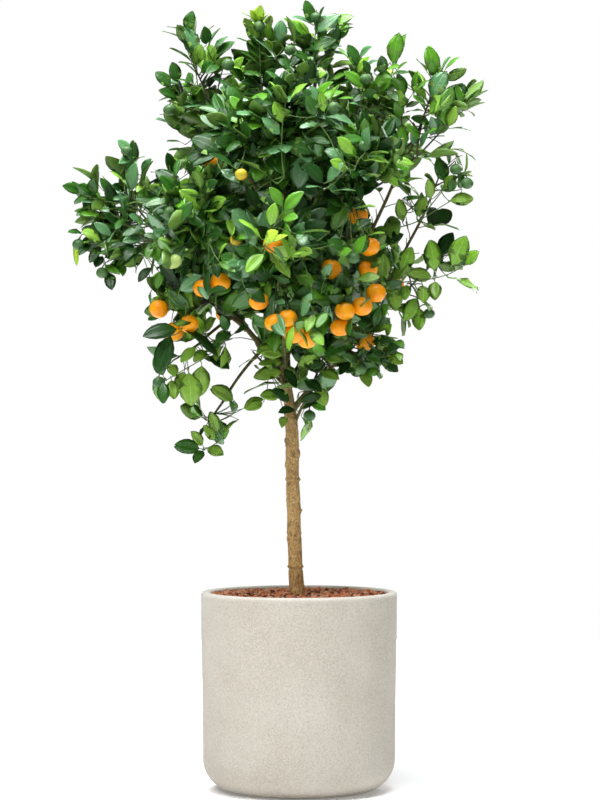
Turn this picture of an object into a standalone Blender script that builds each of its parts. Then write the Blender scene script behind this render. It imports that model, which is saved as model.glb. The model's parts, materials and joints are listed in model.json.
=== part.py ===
# Calamondin orange tree on a clear stem, in a round pot with a rounded foot.
# Metres, +Z up. The origin is the middle of the pot's flat underside, and -Y is the front.

import math
import random

import bmesh
import bpy
from mathutils import Matrix, Vector
from mathutils.bvhtree import BVHTree

UP = Vector((0, 0, 1))
GOLDEN_TURN = math.pi * (3 - math.sqrt(5))

# Clearances
GAP = 0.0003
SEAT_GAP = 0.00035
SPACE_MARGIN = 0.0006
LIMB_MARGIN = 0.0012

# Pot, soil and mulch
POT_HEIGHT = 0.384
POT_RIM_RADIUS = 0.190
POT_FOOT_RADIUS = 0.186
POT_CORNER = 0.062
POT_WALL = 0.018
POT_FLOOR = 0.022
POT_INNER_CORNER = 0.030
RIM_ROUND = 0.005
ROUND_STEPS = 36
MULCH_BELOW_RIM = 0.009
MULCH_DEPTH = 0.014
MULCH_HOLE = 0.023
MULCH_RINGS = 3
MULCH_LUMP = 0.0028
MULCH_SEED = 11

# Trunk, by height above the soil: how far it has leant to the left, and its radius
TRUNK_FOOT_X = -0.003
TRUNK_HEIGHT = 0.468
TRUNK_LEAN = ((0.0, 0.0), (0.15, 0.0050), (0.30, 0.0065), (0.53, 0.0085), (0.72, 0.0110), (0.81, 0.0145),
              (0.91, 0.0220), (1.0, 0.0310))
TRUNK_TAPER = ((0.0, 0.0165), (0.04, 0.0150), (0.15, 0.0138), (0.53, 0.0130), (0.78, 0.0122), (0.85, 0.0105),
               (0.93, 0.0086), (1.0, 0.0078))
TRUNK_KNOTS = (0.10, 0.29, 0.34, 0.53, 0.62, 0.74)
TRUNK_KNOT_SWELL = 0.0011
TRUNK_RINGS = 24
TRUNK_SIDES = 8

# Boughs: a bough's foot thickens with the number of masses that it carries
BOUGH_TIP_RADIUS = 0.0026
BOUGH_FOOT_RADIUS = 0.0032
BOUGH_GROWTH = 0.42
BOUGH_RINGS = 5
BOUGH_SIDES = 5

# Twigs, leaves and fruit
STEM_RADIUS = 0.0026
STEM_TIP_RADIUS = 0.0016
STEM_RINGS = 2
STEM_BEND = 0.04
STEM_PAST_CENTRE = 0.30
STEM_RISE = 0.25
TWIG_SIDES = 3
SHOOT_RADIUS = 0.0017
SHOOT_TIP_RADIUS = 0.0011
SHOOT_FIRST = 0.10
SHOOT_LAST = 0.96
SHOOT_SLANT = 0.55
SHOOT_BEND = 0.12
SHOOT_SAG = 0.07
LEAF_LENGTH = 0.086
LEAF_WIDTH = 0.050
LEAF_THICKNESS = 0.0020
LEAF_FULLNESS = 1.1
LEAF_FOLD = 0.16
LEAF_CURL = 0.10
LEAF_SLANT = math.radians(55)
TIP_LEAF_SLANT = math.radians(12)
LEAF_LIFT = 0.15
LEAF_ROLL = 0.3
LEAF_SUNK = 0.0006
LEAF_SHARES = (1.0, 0.74, 0.46)
LEAF_TURNS = 6
LEAF_REACH = 0.052
LEAST_REACH = 0.02
FRUIT_RADIUS = 0.0175
UNRIPE_RADIUS = 0.0115

# The crown is dense in its middle: these masses have a small lumpy core that leaves stand out of
CROWN_CENTRE = Vector((-0.03, 0.0, 1.08))
CORE_SHARE = 0.56
CORE_LUMP = 0.20
CORE_SHRINK = 0.9
DENSE_MASSES = ("upper_left", "front_upper", "front_right", "left_front", "front", "front_low_right",
                "low_left", "back_upper_left", "back_upper_right", "back", "back_low_left", "back_low_right")

# The masses of foliage, each on its own bough.
# parent and share: the limb that the bough leaves, and how far along it.
# lift: how far the bough's middle lies above the straight way, as a share of its length.
# centre and half: the middle of the mass and its half sizes. tips: where its furthest leaves end.
MASSES = {
    "top": dict(parent="trunk", share=0.985, lift=0.02, shoots=5,
                centre=(0.035, -0.02, 1.405), half=(0.095, 0.100, 0.105),
                tips=((0.011, -0.02, 1.516), (0.092, -0.01, 1.495))),
    "crest": dict(parent="top", share=0.66, lift=0.04, shoots=5,
                  centre=(-0.075, 0.03, 1.400), half=(0.080, 0.090, 0.105),
                  tips=((-0.091, 0.02, 1.514),)),
    "upper_left": dict(parent="top", share=0.36, lift=0.10, shoots=6,
                       centre=(-0.190, 0.00, 1.345), half=(0.085, 0.110, 0.150),
                       tips=((-0.212, 0.00, 1.508), (-0.262, 0.00, 1.475))),
    "upper_right": dict(parent="top", share=0.52, lift=0.06, shoots=5,
                        centre=(0.140, 0.04, 1.340), half=(0.090, 0.100, 0.110),
                        tips=((0.182, 0.01, 1.463),)),
    "far_right": dict(parent="trunk", share=0.89, lift=-0.03, shoots=6,
                      centre=(0.250, -0.03, 1.310), half=(0.100, 0.090, 0.105),
                      tips=((0.364, -0.03, 1.356), (0.258, -0.03, 1.438))),
    "front_upper": dict(parent="top", share=0.42, lift=0.06, shoots=6,
                        centre=(-0.050, -0.185, 1.270), half=(0.135, 0.115, 0.130), tips=()),
    "front_right": dict(parent="far_right", share=0.42, lift=0.05, shoots=6,
                        centre=(0.120, -0.150, 1.190), half=(0.115, 0.120, 0.120), tips=()),
    "back_upper_left": dict(parent="top", share=0.30, lift=0.08, shoots=6,
                            centre=(-0.135, 0.200, 1.280), half=(0.140, 0.130, 0.140), tips=()),
    "back_upper_right": dict(parent="far_right", share=0.34, lift=0.10, shoots=6,
                             centre=(0.090, 0.200, 1.270), half=(0.140, 0.130, 0.140), tips=()),
    "left": dict(parent="trunk", share=0.93, lift=0.10, shoots=6,
                 centre=(-0.315, -0.03, 1.105), half=(0.125, 0.120, 0.125),
                 tips=((-0.347, -0.01, 1.255), (-0.450, -0.03, 1.166), (-0.430, -0.03, 1.060))),
    "left_front": dict(parent="left", share=0.46, lift=0.08, shoots=6,
                       centre=(-0.190, -0.150, 1.115), half=(0.120, 0.120, 0.125), tips=()),
    "front": dict(parent="trunk", share=0.88, lift=0.06, shoots=6,
                  centre=(-0.045, -0.225, 1.040), half=(0.120, 0.110, 0.125), tips=()),
    "right_low": dict(parent="trunk", share=0.79, lift=0.10, shoots=4,
                      centre=(0.255, 0.03, 1.000), half=(0.105, 0.085, 0.085),
                      tips=((0.351, 0.02, 0.980), (0.318, 0.03, 1.071))),
    "front_low_right": dict(parent="right_low", share=0.36, lift=0.08, shoots=6,
                            centre=(0.080, -0.150, 0.970), half=(0.110, 0.115, 0.115), tips=()),
    "right": dict(parent="right_low", share=0.52, lift=-0.06, shoots=4,
                  centre=(0.265, 0.01, 1.160), half=(0.085, 0.070, 0.065), tips=((0.339, 0.00, 1.178),)),
    "low_right": dict(parent="right_low", share=0.24, lift=0.04, shoots=5,
                      centre=(0.120, -0.03, 0.860), half=(0.095, 0.095, 0.085),
                      tips=((0.196, -0.03, 0.814),)),
    "low_left": dict(parent="left", share=0.34, lift=0.12, shoots=6,
                     centre=(-0.205, -0.060, 0.950), half=(0.105, 0.105, 0.085), tips=()),
    "hanging_left": dict(parent="low_left", share=0.72, lift=0.10, shoots=4,
                         centre=(-0.225, -0.085, 0.825), half=(0.070, 0.060, 0.080), tips=()),
    "hanging_low": dict(parent="left", share=0.20, lift=0.16, shoots=4,
                        centre=(-0.170, -0.02, 0.710), half=(0.070, 0.055, 0.055),
                        tips=((-0.163, -0.02, 0.641),)),
    "back": dict(parent="trunk", share=0.83, lift=0.06, shoots=6,
                 centre=(-0.030, 0.310, 1.120), half=(0.140, 0.110, 0.150), tips=()),
    "back_low_left": dict(parent="back", share=0.40, lift=0.08, shoots=6,
                          centre=(-0.160, 0.190, 1.010), half=(0.130, 0.130, 0.130), tips=()),
    "back_low_right": dict(parent="back", share=0.30, lift=0.08, shoots=6,
                           centre=(0.100, 0.190, 1.020), half=(0.130, 0.130, 0.130), tips=()),
    "skirt_left": dict(parent="trunk", share=0.90, lift=0.05, shoots=4,
                       centre=(-0.080, 0.035, 0.825), half=(0.070, 0.070, 0.070), tips=()),
    "skirt_right": dict(parent="trunk", share=0.72, lift=0.05, shoots=5,
                        centre=(0.045, -0.050, 0.815), half=(0.075, 0.070, 0.100),
                        tips=((0.017, -0.05, 0.705),)),
}

# The fruit that shows from a step away: the mass it hangs in, whether it is ripe, and its middle
FRUIT = (
    ("low_left", True, (-0.262, -0.090, 0.935)),
    ("low_left", True, (-0.213, -0.110, 0.918)),
    ("low_left", True, (-0.170, -0.100, 0.965)),
    ("front", True, (-0.049, -0.250, 0.912)),
    ("front", True, (-0.012, -0.245, 0.925)),
    ("front", True, (-0.080, -0.225, 0.950)),
    ("front_low_right", True, (0.089, -0.185, 0.925)),
    ("front_low_right", True, (0.126, -0.170, 0.942)),
    ("front_right", True, (0.114, -0.200, 1.118)),
    ("left_front", True, (-0.165, -0.190, 1.050)),
    ("right_low", True, (0.185, 0.000, 0.965)),
    ("back_low_left", True, (-0.150, 0.225, 0.930)),
    ("back_low_right", True, (0.120, 0.220, 0.930)),
    ("top", False, (0.020, -0.060, 1.480)),
    ("crest", False, (-0.070, -0.035, 1.450)),
    ("upper_left", False, (-0.250, -0.030, 1.315)),
    ("upper_right", False, (0.145, -0.010, 1.375)),
    ("far_right", False, (0.290, -0.050, 1.270)),
    ("left", False, (-0.340, -0.010, 1.195)),
    ("right", False, (0.325, -0.005, 1.165)),
    ("skirt_right", False, (0.045, -0.055, 0.735)),
)

COLOURS = {
    "pot": ((0.62, 0.59, 0.53), 0.85),
    "soil": ((0.05, 0.03, 0.02), 0.95),
    "mulch": ((0.30, 0.10, 0.06), 0.90),
    "bark": ((0.36, 0.24, 0.12), 0.80),
    "foliage": ((0.06, 0.17, 0.04), 0.45),
}


def clear_scene():
    for old in list(bpy.data.objects):
        bpy.data.objects.remove(old, do_unlink=True)


def new_collection(name):
    made = bpy.data.collections.new(name)
    bpy.context.scene.collection.children.link(made)
    return made


def material(name):
    colour, roughness = COLOURS[name]
    made = bpy.data.materials.new(name)
    made.use_nodes = True
    shader = made.node_tree.nodes["Principled BSDF"]
    shader.inputs["Base Color"].default_value = (*colour, 1)
    shader.inputs["Roughness"].default_value = roughness
    shader.inputs["Metallic"].default_value = 0
    return made


def add_object(name, data, collection):
    made = bpy.data.objects.new(name, data)
    collection.objects.link(made)
    return made


def evaluated_mesh(obj):
    bpy.context.view_layer.update()
    return bpy.data.meshes.new_from_object(obj.evaluated_get(bpy.context.evaluated_depsgraph_get()))


def between(table, share):
    # The value that a table of (share, value) rows gives at share.
    for (low, first), (high, second) in zip(table, table[1:]):
        if share <= high:
            return first + (second - first) * (share - low) / (high - low)
    return table[-1][1]


# Turned pieces

def arc(centre, radius, start, end, steps):
    turns = [math.radians(start + (end - start) * i / steps) for i in range(steps + 1)]
    return [(centre[0] + radius * math.cos(turn), centre[1] + radius * math.sin(turn)) for turn in turns]


def turned(name, profile, colour, collection):
    # The profile runs down its outer side, and it is turned about the pot's axis.
    mesh = bpy.data.meshes.new(name)
    steps = [(i, i + 1) for i in range(len(profile) - 1)]
    mesh.from_pydata([(radius, 0, height) for radius, height in profile], steps, [])
    obj = add_object(name, mesh, collection)
    screw = obj.modifiers.new("turn", "SCREW")
    screw.steps = screw.render_steps = ROUND_STEPS
    screw.use_merge_vertices = True
    screw.merge_threshold = 0.0001
    mesh.materials.append(material(colour))
    return obj


def inner_radius(height):
    # The radius of the pot's inner wall at a height.
    foot = POT_FOOT_RADIUS - POT_WALL
    rim = POT_RIM_RADIUS - POT_WALL
    share = (height - POT_CORNER) / (POT_HEIGHT - POT_CORNER)
    return foot + (rim - foot) * max(0.0, share)


def inner_corner(clearance):
    # The rounded corner between the pot's floor and its inner wall, from the wall down.
    centre = (inner_radius(0) - POT_INNER_CORNER, POT_FLOOR + POT_INNER_CORNER)
    return arc(centre, POT_INNER_CORNER - clearance, 0, -90, 2)


def build_pot(collection):
    rim = POT_HEIGHT - RIM_ROUND
    profile = [(0, POT_FLOOR)]
    profile += reversed(inner_corner(0))
    profile += arc((inner_radius(rim) + RIM_ROUND, rim), RIM_ROUND, 180, 90, 1)
    profile += arc((POT_RIM_RADIUS - RIM_ROUND, rim), RIM_ROUND, 90, 0, 1)
    profile += arc((POT_FOOT_RADIUS - POT_CORNER, POT_CORNER), POT_CORNER, 0, -90, 5)
    profile.append((0, 0))
    return turned("pot", profile, "pot", collection)


def build_soil(top, collection):
    profile = [(0, top), (inner_radius(top) - GAP, top)]
    profile += inner_corner(GAP)
    profile.append((0, POT_FLOOR + GAP))
    return turned("soil", profile, "soil", collection)


def build_mulch(bottom, collection):
    # A ring of chips round the trunk's foot, with a lumpy top.
    top = bottom + MULCH_DEPTH
    reach = inner_radius(top) - GAP
    rings = [MULCH_HOLE + (reach - MULCH_HOLE) * i / MULCH_RINGS for i in range(MULCH_RINGS + 1)]
    profile = [(MULCH_HOLE, bottom)]
    profile += [(radius, top) for radius in rings]
    profile += [(inner_radius(bottom) - GAP, bottom), (MULCH_HOLE, bottom)]
    turned_ring = turned("mulch_ring", profile, "mulch", collection)
    mesh = evaluated_mesh(turned_ring)
    bpy.data.objects.remove(turned_ring)
    chance = random.Random(MULCH_SEED)
    for vertex in mesh.vertices:
        if vertex.co.z > top - GAP:
            vertex.co.z += chance.uniform(-MULCH_LUMP, MULCH_LUMP)
    weld(mesh)
    mesh.shade_flat()
    return add_object("mulch", mesh, collection)


def weld(mesh):
    work = bmesh.new()
    work.from_mesh(mesh)
    bmesh.ops.remove_doubles(work, verts=work.verts, dist=0.00005)
    work.to_mesh(mesh)
    work.free()


# Tubes: the trunk, the boughs and the twigs

def ring_profile(sides):
    # A closed outline for a curve to carry along its way, as a twig has only three sides.
    name = f"section_{sides}"
    if name in bpy.data.objects:
        return bpy.data.objects[name]
    outline = bpy.data.curves.new(name, "CURVE")
    outline.dimensions = "2D"
    line = outline.splines.new("POLY")
    line.points.add(sides - 1)
    for i, point in enumerate(line.points):
        turn = -2 * math.pi * i / sides
        point.co = (math.cos(turn), math.sin(turn), 0, 1)
    line.use_cyclic_u = True
    helper = add_object(name, outline, bpy.context.scene.collection)
    helper.hide_render = True
    helper.display_type = "WIRE"
    return helper


def tube_mesh(points, radii, sides):
    curve = bpy.data.curves.new("tube", "CURVE")
    curve.dimensions = "3D"
    curve.bevel_mode = "OBJECT"
    curve.bevel_object = ring_profile(sides)
    curve.use_fill_caps = True
    line = curve.splines.new("POLY")
    line.points.add(len(points) - 1)
    for point, place, radius in zip(line.points, points, radii):
        point.co = (*place, 1)
        point.radius = radius
    obj = add_object("tube", curve, bpy.context.scene.collection)
    mesh = evaluated_mesh(obj)
    bpy.data.objects.remove(obj)
    bpy.data.curves.remove(curve)
    weld(mesh)
    return mesh


def bezier(start, bend, end, share):
    return start.lerp(bend, share).lerp(bend.lerp(end, share), share)


class Limb:
    # The trunk or a bough: its way, its radii and its sides.

    def __init__(self, points, radii, sides):
        self.points = points
        self.radii = radii
        self.sides = sides

    def at(self, share):
        # The place and the direction at a share of the limb's length.
        step = min(share, 0.9999) * (len(self.points) - 1)
        first = int(step)
        way = self.points[first + 1] - self.points[first]
        return self.points[first] + way * (step - first), way.normalized()

    def mesh(self, grown=0.0):
        points = list(self.points)
        points[0] = points[0] + (points[0] - points[1]).normalized() * grown
        points[-1] = points[-1] + (points[-1] - points[-2]).normalized() * grown
        return tube_mesh(points, [radius + grown for radius in self.radii], self.sides)


def trunk_limb(soil_top):
    shares = [i / TRUNK_RINGS for i in range(TRUNK_RINGS + 1)]
    points = []
    radii = []
    for share in shares:
        points.append(Vector((TRUNK_FOOT_X - between(TRUNK_LEAN, share), 0, soil_top + TRUNK_HEIGHT * share)))
        knot = any(abs(share - at) < 0.5 / TRUNK_RINGS for at in TRUNK_KNOTS)
        radii.append(between(TRUNK_TAPER, share) + (TRUNK_KNOT_SWELL if knot else 0))
    # The foot is cut level.
    points[1].x = points[0].x
    return Limb(points, radii, TRUNK_SIDES)


def inside_half(mass, point, scale=1.0):
    away = point - Vector(mass["centre"])
    return sum((a / (h * scale)) ** 2 for a, h in zip(away, mass["half"])) <= 1


def carried(name):
    # How many masses hang on a bough, its own included.
    return 1 + sum(carried(child) for child, mass in MASSES.items() if mass["parent"] == name)


def bough_limb(name, mass, parent):
    # A bough bends from its parent's side up and out to where it enters its mass.
    start, _ = parent.at(mass["share"])
    centre = Vector(mass["centre"])
    length = (centre - start).length
    bend = start.lerp(centre, 0.5) + UP * mass["lift"] * length
    entry = 1.0
    while entry > 0.3 and inside_half(mass, bezier(start, bend, centre, entry), 0.72):
        entry -= 0.02
    while entry > 0.1 and not in_space(name, bezier(start, bend, centre, entry), 2 * STEM_RADIUS):
        entry += 0.01
    shares = [entry * i / BOUGH_RINGS for i in range(BOUGH_RINGS + 1)]
    foot = BOUGH_FOOT_RADIUS * carried(name) ** BOUGH_GROWTH
    radii = [foot + (BOUGH_TIP_RADIUS - foot) * i / BOUGH_RINGS for i in range(BOUGH_RINGS + 1)]
    return Limb([bezier(start, bend, centre, share) for share in shares], radii, BOUGH_SIDES)


# The space that each mass keeps to

def extent(mass, way):
    # How far a mass's half sizes reach along a way.
    return math.sqrt(sum((w * h) ** 2 for w, h in zip(way, mass["half"])))


def walls_of(name):
    # A level wall stands between each two masses, where their half sizes share the way between them.
    mass = MASSES[name]
    centre = Vector(mass["centre"])
    walls = []
    for other_name, other in MASSES.items():
        if other_name == name:
            continue
        way = Vector(other["centre"]) - centre
        apart = way.length
        way.normalize()
        share = extent(mass, way) / (extent(mass, way) + extent(other, way))
        walls.append((centre + way * apart * share, way))
    return walls


WALLS = {name: walls_of(name) for name in MASSES}


def in_space(name, point, margin=SPACE_MARGIN):
    return all((point - place).dot(way) < -margin for place, way in WALLS[name])


# Foliage

def even_ways(count, turn):
    # Directions spread evenly over a ball.
    ways = []
    for i in range(count):
        height = 1 - 2 * (i + 0.5) / count
        flat = math.sqrt(1 - height * height)
        angle = turn + i * GOLDEN_TURN
        ways.append(Vector((flat * math.cos(angle), flat * math.sin(angle), height)))
    return ways


def stem_of(name, bough):
    # The stem goes on from its bough's tip and through the middle of the mass.
    mass = MASSES[name]
    tip = bough.points[-1]
    way = (tip - bough.points[-2]).normalized()
    start = tip + way * GAP * 1.5
    centre = Vector(mass["centre"])
    end = centre + (centre - start) * STEM_PAST_CENTRE + UP * mass["half"][2] * STEM_RISE
    points = [start.lerp(end, i / STEM_RINGS) for i in range(STEM_RINGS + 1)]
    points[1] += way * (end - start).length * STEM_BEND
    radii = [STEM_RADIUS + (STEM_TIP_RADIUS - STEM_RADIUS) * i / STEM_RINGS for i in range(STEM_RINGS + 1)]
    return Limb(points, radii, TWIG_SIDES)


def shoot_points(stem, target):
    # A shoot leaves the stem at a slant towards its target, and turns up on the way.
    start_of_stem = stem.points[0]
    chord = stem.points[-1] - start_of_stem
    along = (target - start_of_stem).dot(chord) / chord.length_squared
    aside = (target - start_of_stem - chord * along).length / chord.length
    start, way = stem.at(min(SHOOT_LAST, max(SHOOT_FIRST, along - SHOOT_SLANT * aside)))
    length = (target - start).length
    bend = start.lerp(target, 0.5) + way * length * SHOOT_BEND - UP * length * SHOOT_SAG
    return [start, bezier(start, bend, target, 0.5), target]


def shoot_targets(name):
    # Where the shoots of a mass end: spread evenly just inside its outline, and its tips.
    mass = MASSES[name]
    chance = random.Random(name + " shoots")
    centre = Vector(mass["centre"])
    targets = [Vector(tip) + (centre - Vector(tip)).normalized() * LEAF_LENGTH for tip in mass["tips"]]
    for way in even_ways(mass["shoots"], chance.uniform(0, 2 * math.pi)):
        reach = Vector([way[i] * max(mass["half"][i] - LEAF_REACH, LEAST_REACH) for i in range(3)])
        reach *= chance.uniform(0.85, 1.0)
        pull = 1.0
        while pull > 0.3 and not in_space(name, centre + reach * pull, LEAF_WIDTH / 2):
            pull -= 0.1
        targets.append(centre + reach * pull)
    return targets


def leaf_mesh():
    # A flat ball of four sides: its equator is the leaf's outline, and its poles lie on the midrib.
    work = bmesh.new()
    bmesh.ops.create_uvsphere(work, u_segments=4, v_segments=2, radius=1)
    for vertex in work.verts:
        along = (0.5 - 0.5 * vertex.co.y) ** LEAF_FULLNESS
        across = vertex.co.x * LEAF_WIDTH / 2
        rise = abs(across) * LEAF_FOLD - LEAF_CURL * LEAF_LENGTH * along * along
        vertex.co = (along * LEAF_LENGTH, across, vertex.co.z * LEAF_THICKNESS / 2 + rise)
    mesh = bpy.data.meshes.new("leaf")
    work.to_mesh(mesh)
    work.free()
    return mesh


def leaf_matrix(root, along, face):
    # A leaf's own X runs from root to tip, and its own Z is its upper side.
    side = face.cross(along).normalized()
    face = along.cross(side)
    turn = Matrix((along, side, face)).transposed().to_4x4()
    return Matrix.Translation(root) @ turn


def leaf_ways(shoot, share, turn):
    # Where a leaf at a share of a shoot is rooted, which way it points and where its upper side looks.
    place, way = Limb(shoot, [0] * len(shoot), TWIG_SIDES).at(share)
    aside = way.cross(UP if abs(way.z) < 0.95 else Vector((1, 0, 0))).normalized()
    aside = Matrix.Rotation(turn, 3, way) @ aside
    slant = TIP_LEAF_SLANT if share == 1.0 else LEAF_SLANT
    along = (way * math.cos(slant) + aside * math.sin(slant) + UP * LEAF_LIFT).normalized()
    outward = (place - CROWN_CENTRE).normalized()
    return place - along * LEAF_SUNK, along, UP + outward + aside * LEAF_ROLL


def transformed_tree(mesh, matrix):
    places = [matrix @ vertex.co for vertex in mesh.vertices]
    return places, BVHTree.FromPolygons(places, [face.vertices for face in mesh.polygons])


class Foliage:
    # One mass as it grows: what it has, and what it must keep clear of.

    def __init__(self, name, bough, limbs_tree, leaf, joined):
        self.name = name
        self.limbs_tree = limbs_tree
        self.leaf = leaf
        self.joined = joined
        self.stem = stem_of(name, bough)
        self.taken = []
        self.leaves = 0

    def fits(self, places, tree):
        if not all(in_space(self.name, place) for place in places):
            return False
        return not tree.overlap(self.limbs_tree)

    def free(self, tree):
        return not any(tree.overlap(other) for other in self.taken)

    def add(self, kind, mesh, matrix=Matrix()):
        made = add_object(f"{kind}_{self.name}_{len(self.joined.objects)}", mesh, self.joined)
        made.matrix_world = matrix

    def add_shoot(self, target):
        points = shoot_points(self.stem, target)
        middle = (SHOOT_RADIUS + SHOOT_TIP_RADIUS) / 2
        mesh = tube_mesh(points, [SHOOT_RADIUS, middle, SHOOT_TIP_RADIUS], TWIG_SIDES)
        places, tree = transformed_tree(mesh, Matrix())
        if not self.fits(places, tree):
            bpy.data.meshes.remove(mesh)
            return None
        self.add("shoot", mesh)
        return points

    def add_core(self):
        # The core shrinks until it keeps to the mass's space and clear of every limb.
        mass = MASSES[self.name]
        chance = random.Random(self.name + " core")
        work = bmesh.new()
        bmesh.ops.create_icosphere(work, subdivisions=1, radius=1)
        for vertex in work.verts:
            vertex.co *= chance.uniform(1 - CORE_LUMP, 1 + CORE_LUMP)
        mesh = bpy.data.meshes.new("core")
        work.to_mesh(mesh)
        work.free()
        scale = CORE_SHARE
        while scale > CORE_SHARE / 2:
            matrix = Matrix.LocRotScale(Vector(mass["centre"]), None, Vector(mass["half"]) * scale)
            places, tree = transformed_tree(mesh, matrix)
            if self.fits(places, tree):
                self.add("core", mesh, matrix)
                return
            scale *= CORE_SHRINK
        print(f"{self.name}: no room for a core")

    def add_leaf(self, shoot, share, turn):
        for i in range(LEAF_TURNS):
            root, along, face = leaf_ways(shoot, share, turn + i * 2 * math.pi / LEAF_TURNS)
            matrix = leaf_matrix(root, along, face)
            places, tree = transformed_tree(self.leaf, matrix)
            if self.fits(places, tree) and self.free(tree):
                self.add("leaf", self.leaf, matrix)
                self.taken.append(tree)
                self.leaves += 1
                return

    def add_fruit(self, centre, radius):
        # A fruit hangs from a stalk that ends inside its top.
        work = bmesh.new()
        bmesh.ops.create_uvsphere(work, u_segments=6, v_segments=4, radius=radius)
        mesh = bpy.data.meshes.new("fruit")
        work.to_mesh(mesh)
        work.free()
        matrix = Matrix.Translation(centre)
        places, tree = transformed_tree(mesh, matrix)
        if not self.fits(places, tree):
            print(f"{self.name}: no room for the fruit at {tuple(centre)}")
            return
        stalk = self.add_shoot(centre + UP * radius * 0.7)
        if stalk:
            self.add("fruit", mesh, matrix)
            self.taken.append(tree)


def grow(foliage):
    mass_name = foliage.name
    if mass_name in DENSE_MASSES:
        foliage.add_core()
    for owner, ripe, centre in FRUIT:
        if owner == mass_name:
            foliage.add_fruit(Vector(centre), FRUIT_RADIUS if ripe else UNRIPE_RADIUS)
    shoots = [foliage.add_shoot(target) for target in shoot_targets(mass_name)]
    chance = random.Random(mass_name + " leaves")
    for shoot in filter(None, shoots):
        turn = chance.uniform(0, 2 * math.pi)
        for i, share in enumerate(LEAF_SHARES):
            foliage.add_leaf(shoot, share, turn + i * GOLDEN_TURN)
    stem_tip = foliage.stem.points
    foliage.add_leaf(stem_tip, 1.0, 0)
    foliage.add_leaf(stem_tip, 0.75, 2)


def skins_of(work):
    # The faces of each closed skin, found by walking from face to face over shared edges.
    left = set(work.faces)
    skins = []
    while left:
        reached = [left.pop()]
        skin = []
        while reached:
            face = reached.pop()
            skin.append(face)
            for edge in face.edges:
                for other in edge.link_faces:
                    if other in left:
                        left.discard(other)
                        reached.append(other)
        skins.append(skin)
    return sorted(skins, key=len)


def one_body(mesh):
    # Drops loose scraps and the inner skin of any sealed hollow, and keeps the largest body.
    work = bmesh.new()
    work.from_mesh(mesh)
    skins = skins_of(work)
    for skin in skins[:-1]:
        bmesh.ops.delete(work, geom=skin, context="FACES")
    bmesh.ops.triangulate(work, faces=work.faces)
    work.to_mesh(mesh)
    work.free()
    return len(skins) - 1


def join(name, base, helpers, solver, colour, collection):
    # One Boolean union joins a collection of solids to the base.
    union = base.modifiers.new("join", "BOOLEAN")
    union.operation = "UNION"
    union.operand_type = "COLLECTION"
    union.collection = helpers
    union.solver = solver
    mesh = evaluated_mesh(base)
    for helper in list(helpers.objects):
        bpy.data.objects.remove(helper)
    bpy.data.objects.remove(base)
    scraps = one_body(mesh)
    mesh.materials.clear()
    mesh.materials.append(material(colour))
    made = add_object(name, mesh, collection)
    print(f"{name}: {len(mesh.polygons)} triangles, {scraps} scraps dropped")
    return made


def cut_from(mesh, cutter_mesh):
    # The mesh less the cutter, as a new mesh.
    base = add_object("cut_base", mesh, bpy.context.scene.collection)
    cutter = add_object("cutter", cutter_mesh, bpy.context.scene.collection)
    cut = base.modifiers.new("cut", "BOOLEAN")
    cut.operation = "DIFFERENCE"
    cut.object = cutter
    made = evaluated_mesh(base)
    bpy.data.objects.remove(base)
    bpy.data.objects.remove(cutter)
    one_body(made)
    return made


def main():
    clear_scene()
    tree = new_collection("calamondin_tree")
    soil_top = POT_HEIGHT - MULCH_BELOW_RIM - MULCH_DEPTH
    build_pot(tree)
    build_soil(soil_top, tree)
    build_mulch(soil_top + GAP, tree)

    bark = material("bark")
    limbs = {"trunk": trunk_limb(soil_top + GAP)}
    trunk_mesh = limbs["trunk"].mesh()
    trunk_mesh.materials.append(bark)
    add_object("trunk", trunk_mesh, tree)
    for name, mass in MASSES.items():
        limbs[name] = bough_limb(name, mass, limbs[mass["parent"]])
    places = []
    faces = []
    for limb in limbs.values():
        grown = limb.mesh(LIMB_MARGIN)
        faces += [[corner + len(places) for corner in face.vertices] for face in grown.polygons]
        places += [vertex.co.copy() for vertex in grown.vertices]
    limbs_tree = BVHTree.FromPolygons(places, faces)
    for name, mass in MASSES.items():
        mesh = cut_from(limbs[name].mesh(), limbs[mass["parent"]].mesh(SEAT_GAP))
        mesh.materials.clear()
        mesh.materials.append(bark)
        add_object("bough_" + name, mesh, tree)

    leaf = leaf_mesh()
    total = 0
    for name in MASSES:
        joined = new_collection("joined_" + name)
        joined.hide_render = True
        foliage = Foliage(name, limbs[name], limbs_tree, leaf, joined)
        grow(foliage)
        total += foliage.leaves
        base = add_object("stem_" + name, foliage.stem.mesh(), bpy.context.scene.collection)
        join("foliage_" + name, base, joined, "EXACT", "foliage", tree)
    print(f"{total} leaves")
    for mesh in [mesh for mesh in bpy.data.meshes if not mesh.users]:
        bpy.data.meshes.remove(mesh)


main()
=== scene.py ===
import json
import math
import random
from itertools import product

import bmesh
import bpy
from mathutils import Euler, Matrix, Vector, noise

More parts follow.
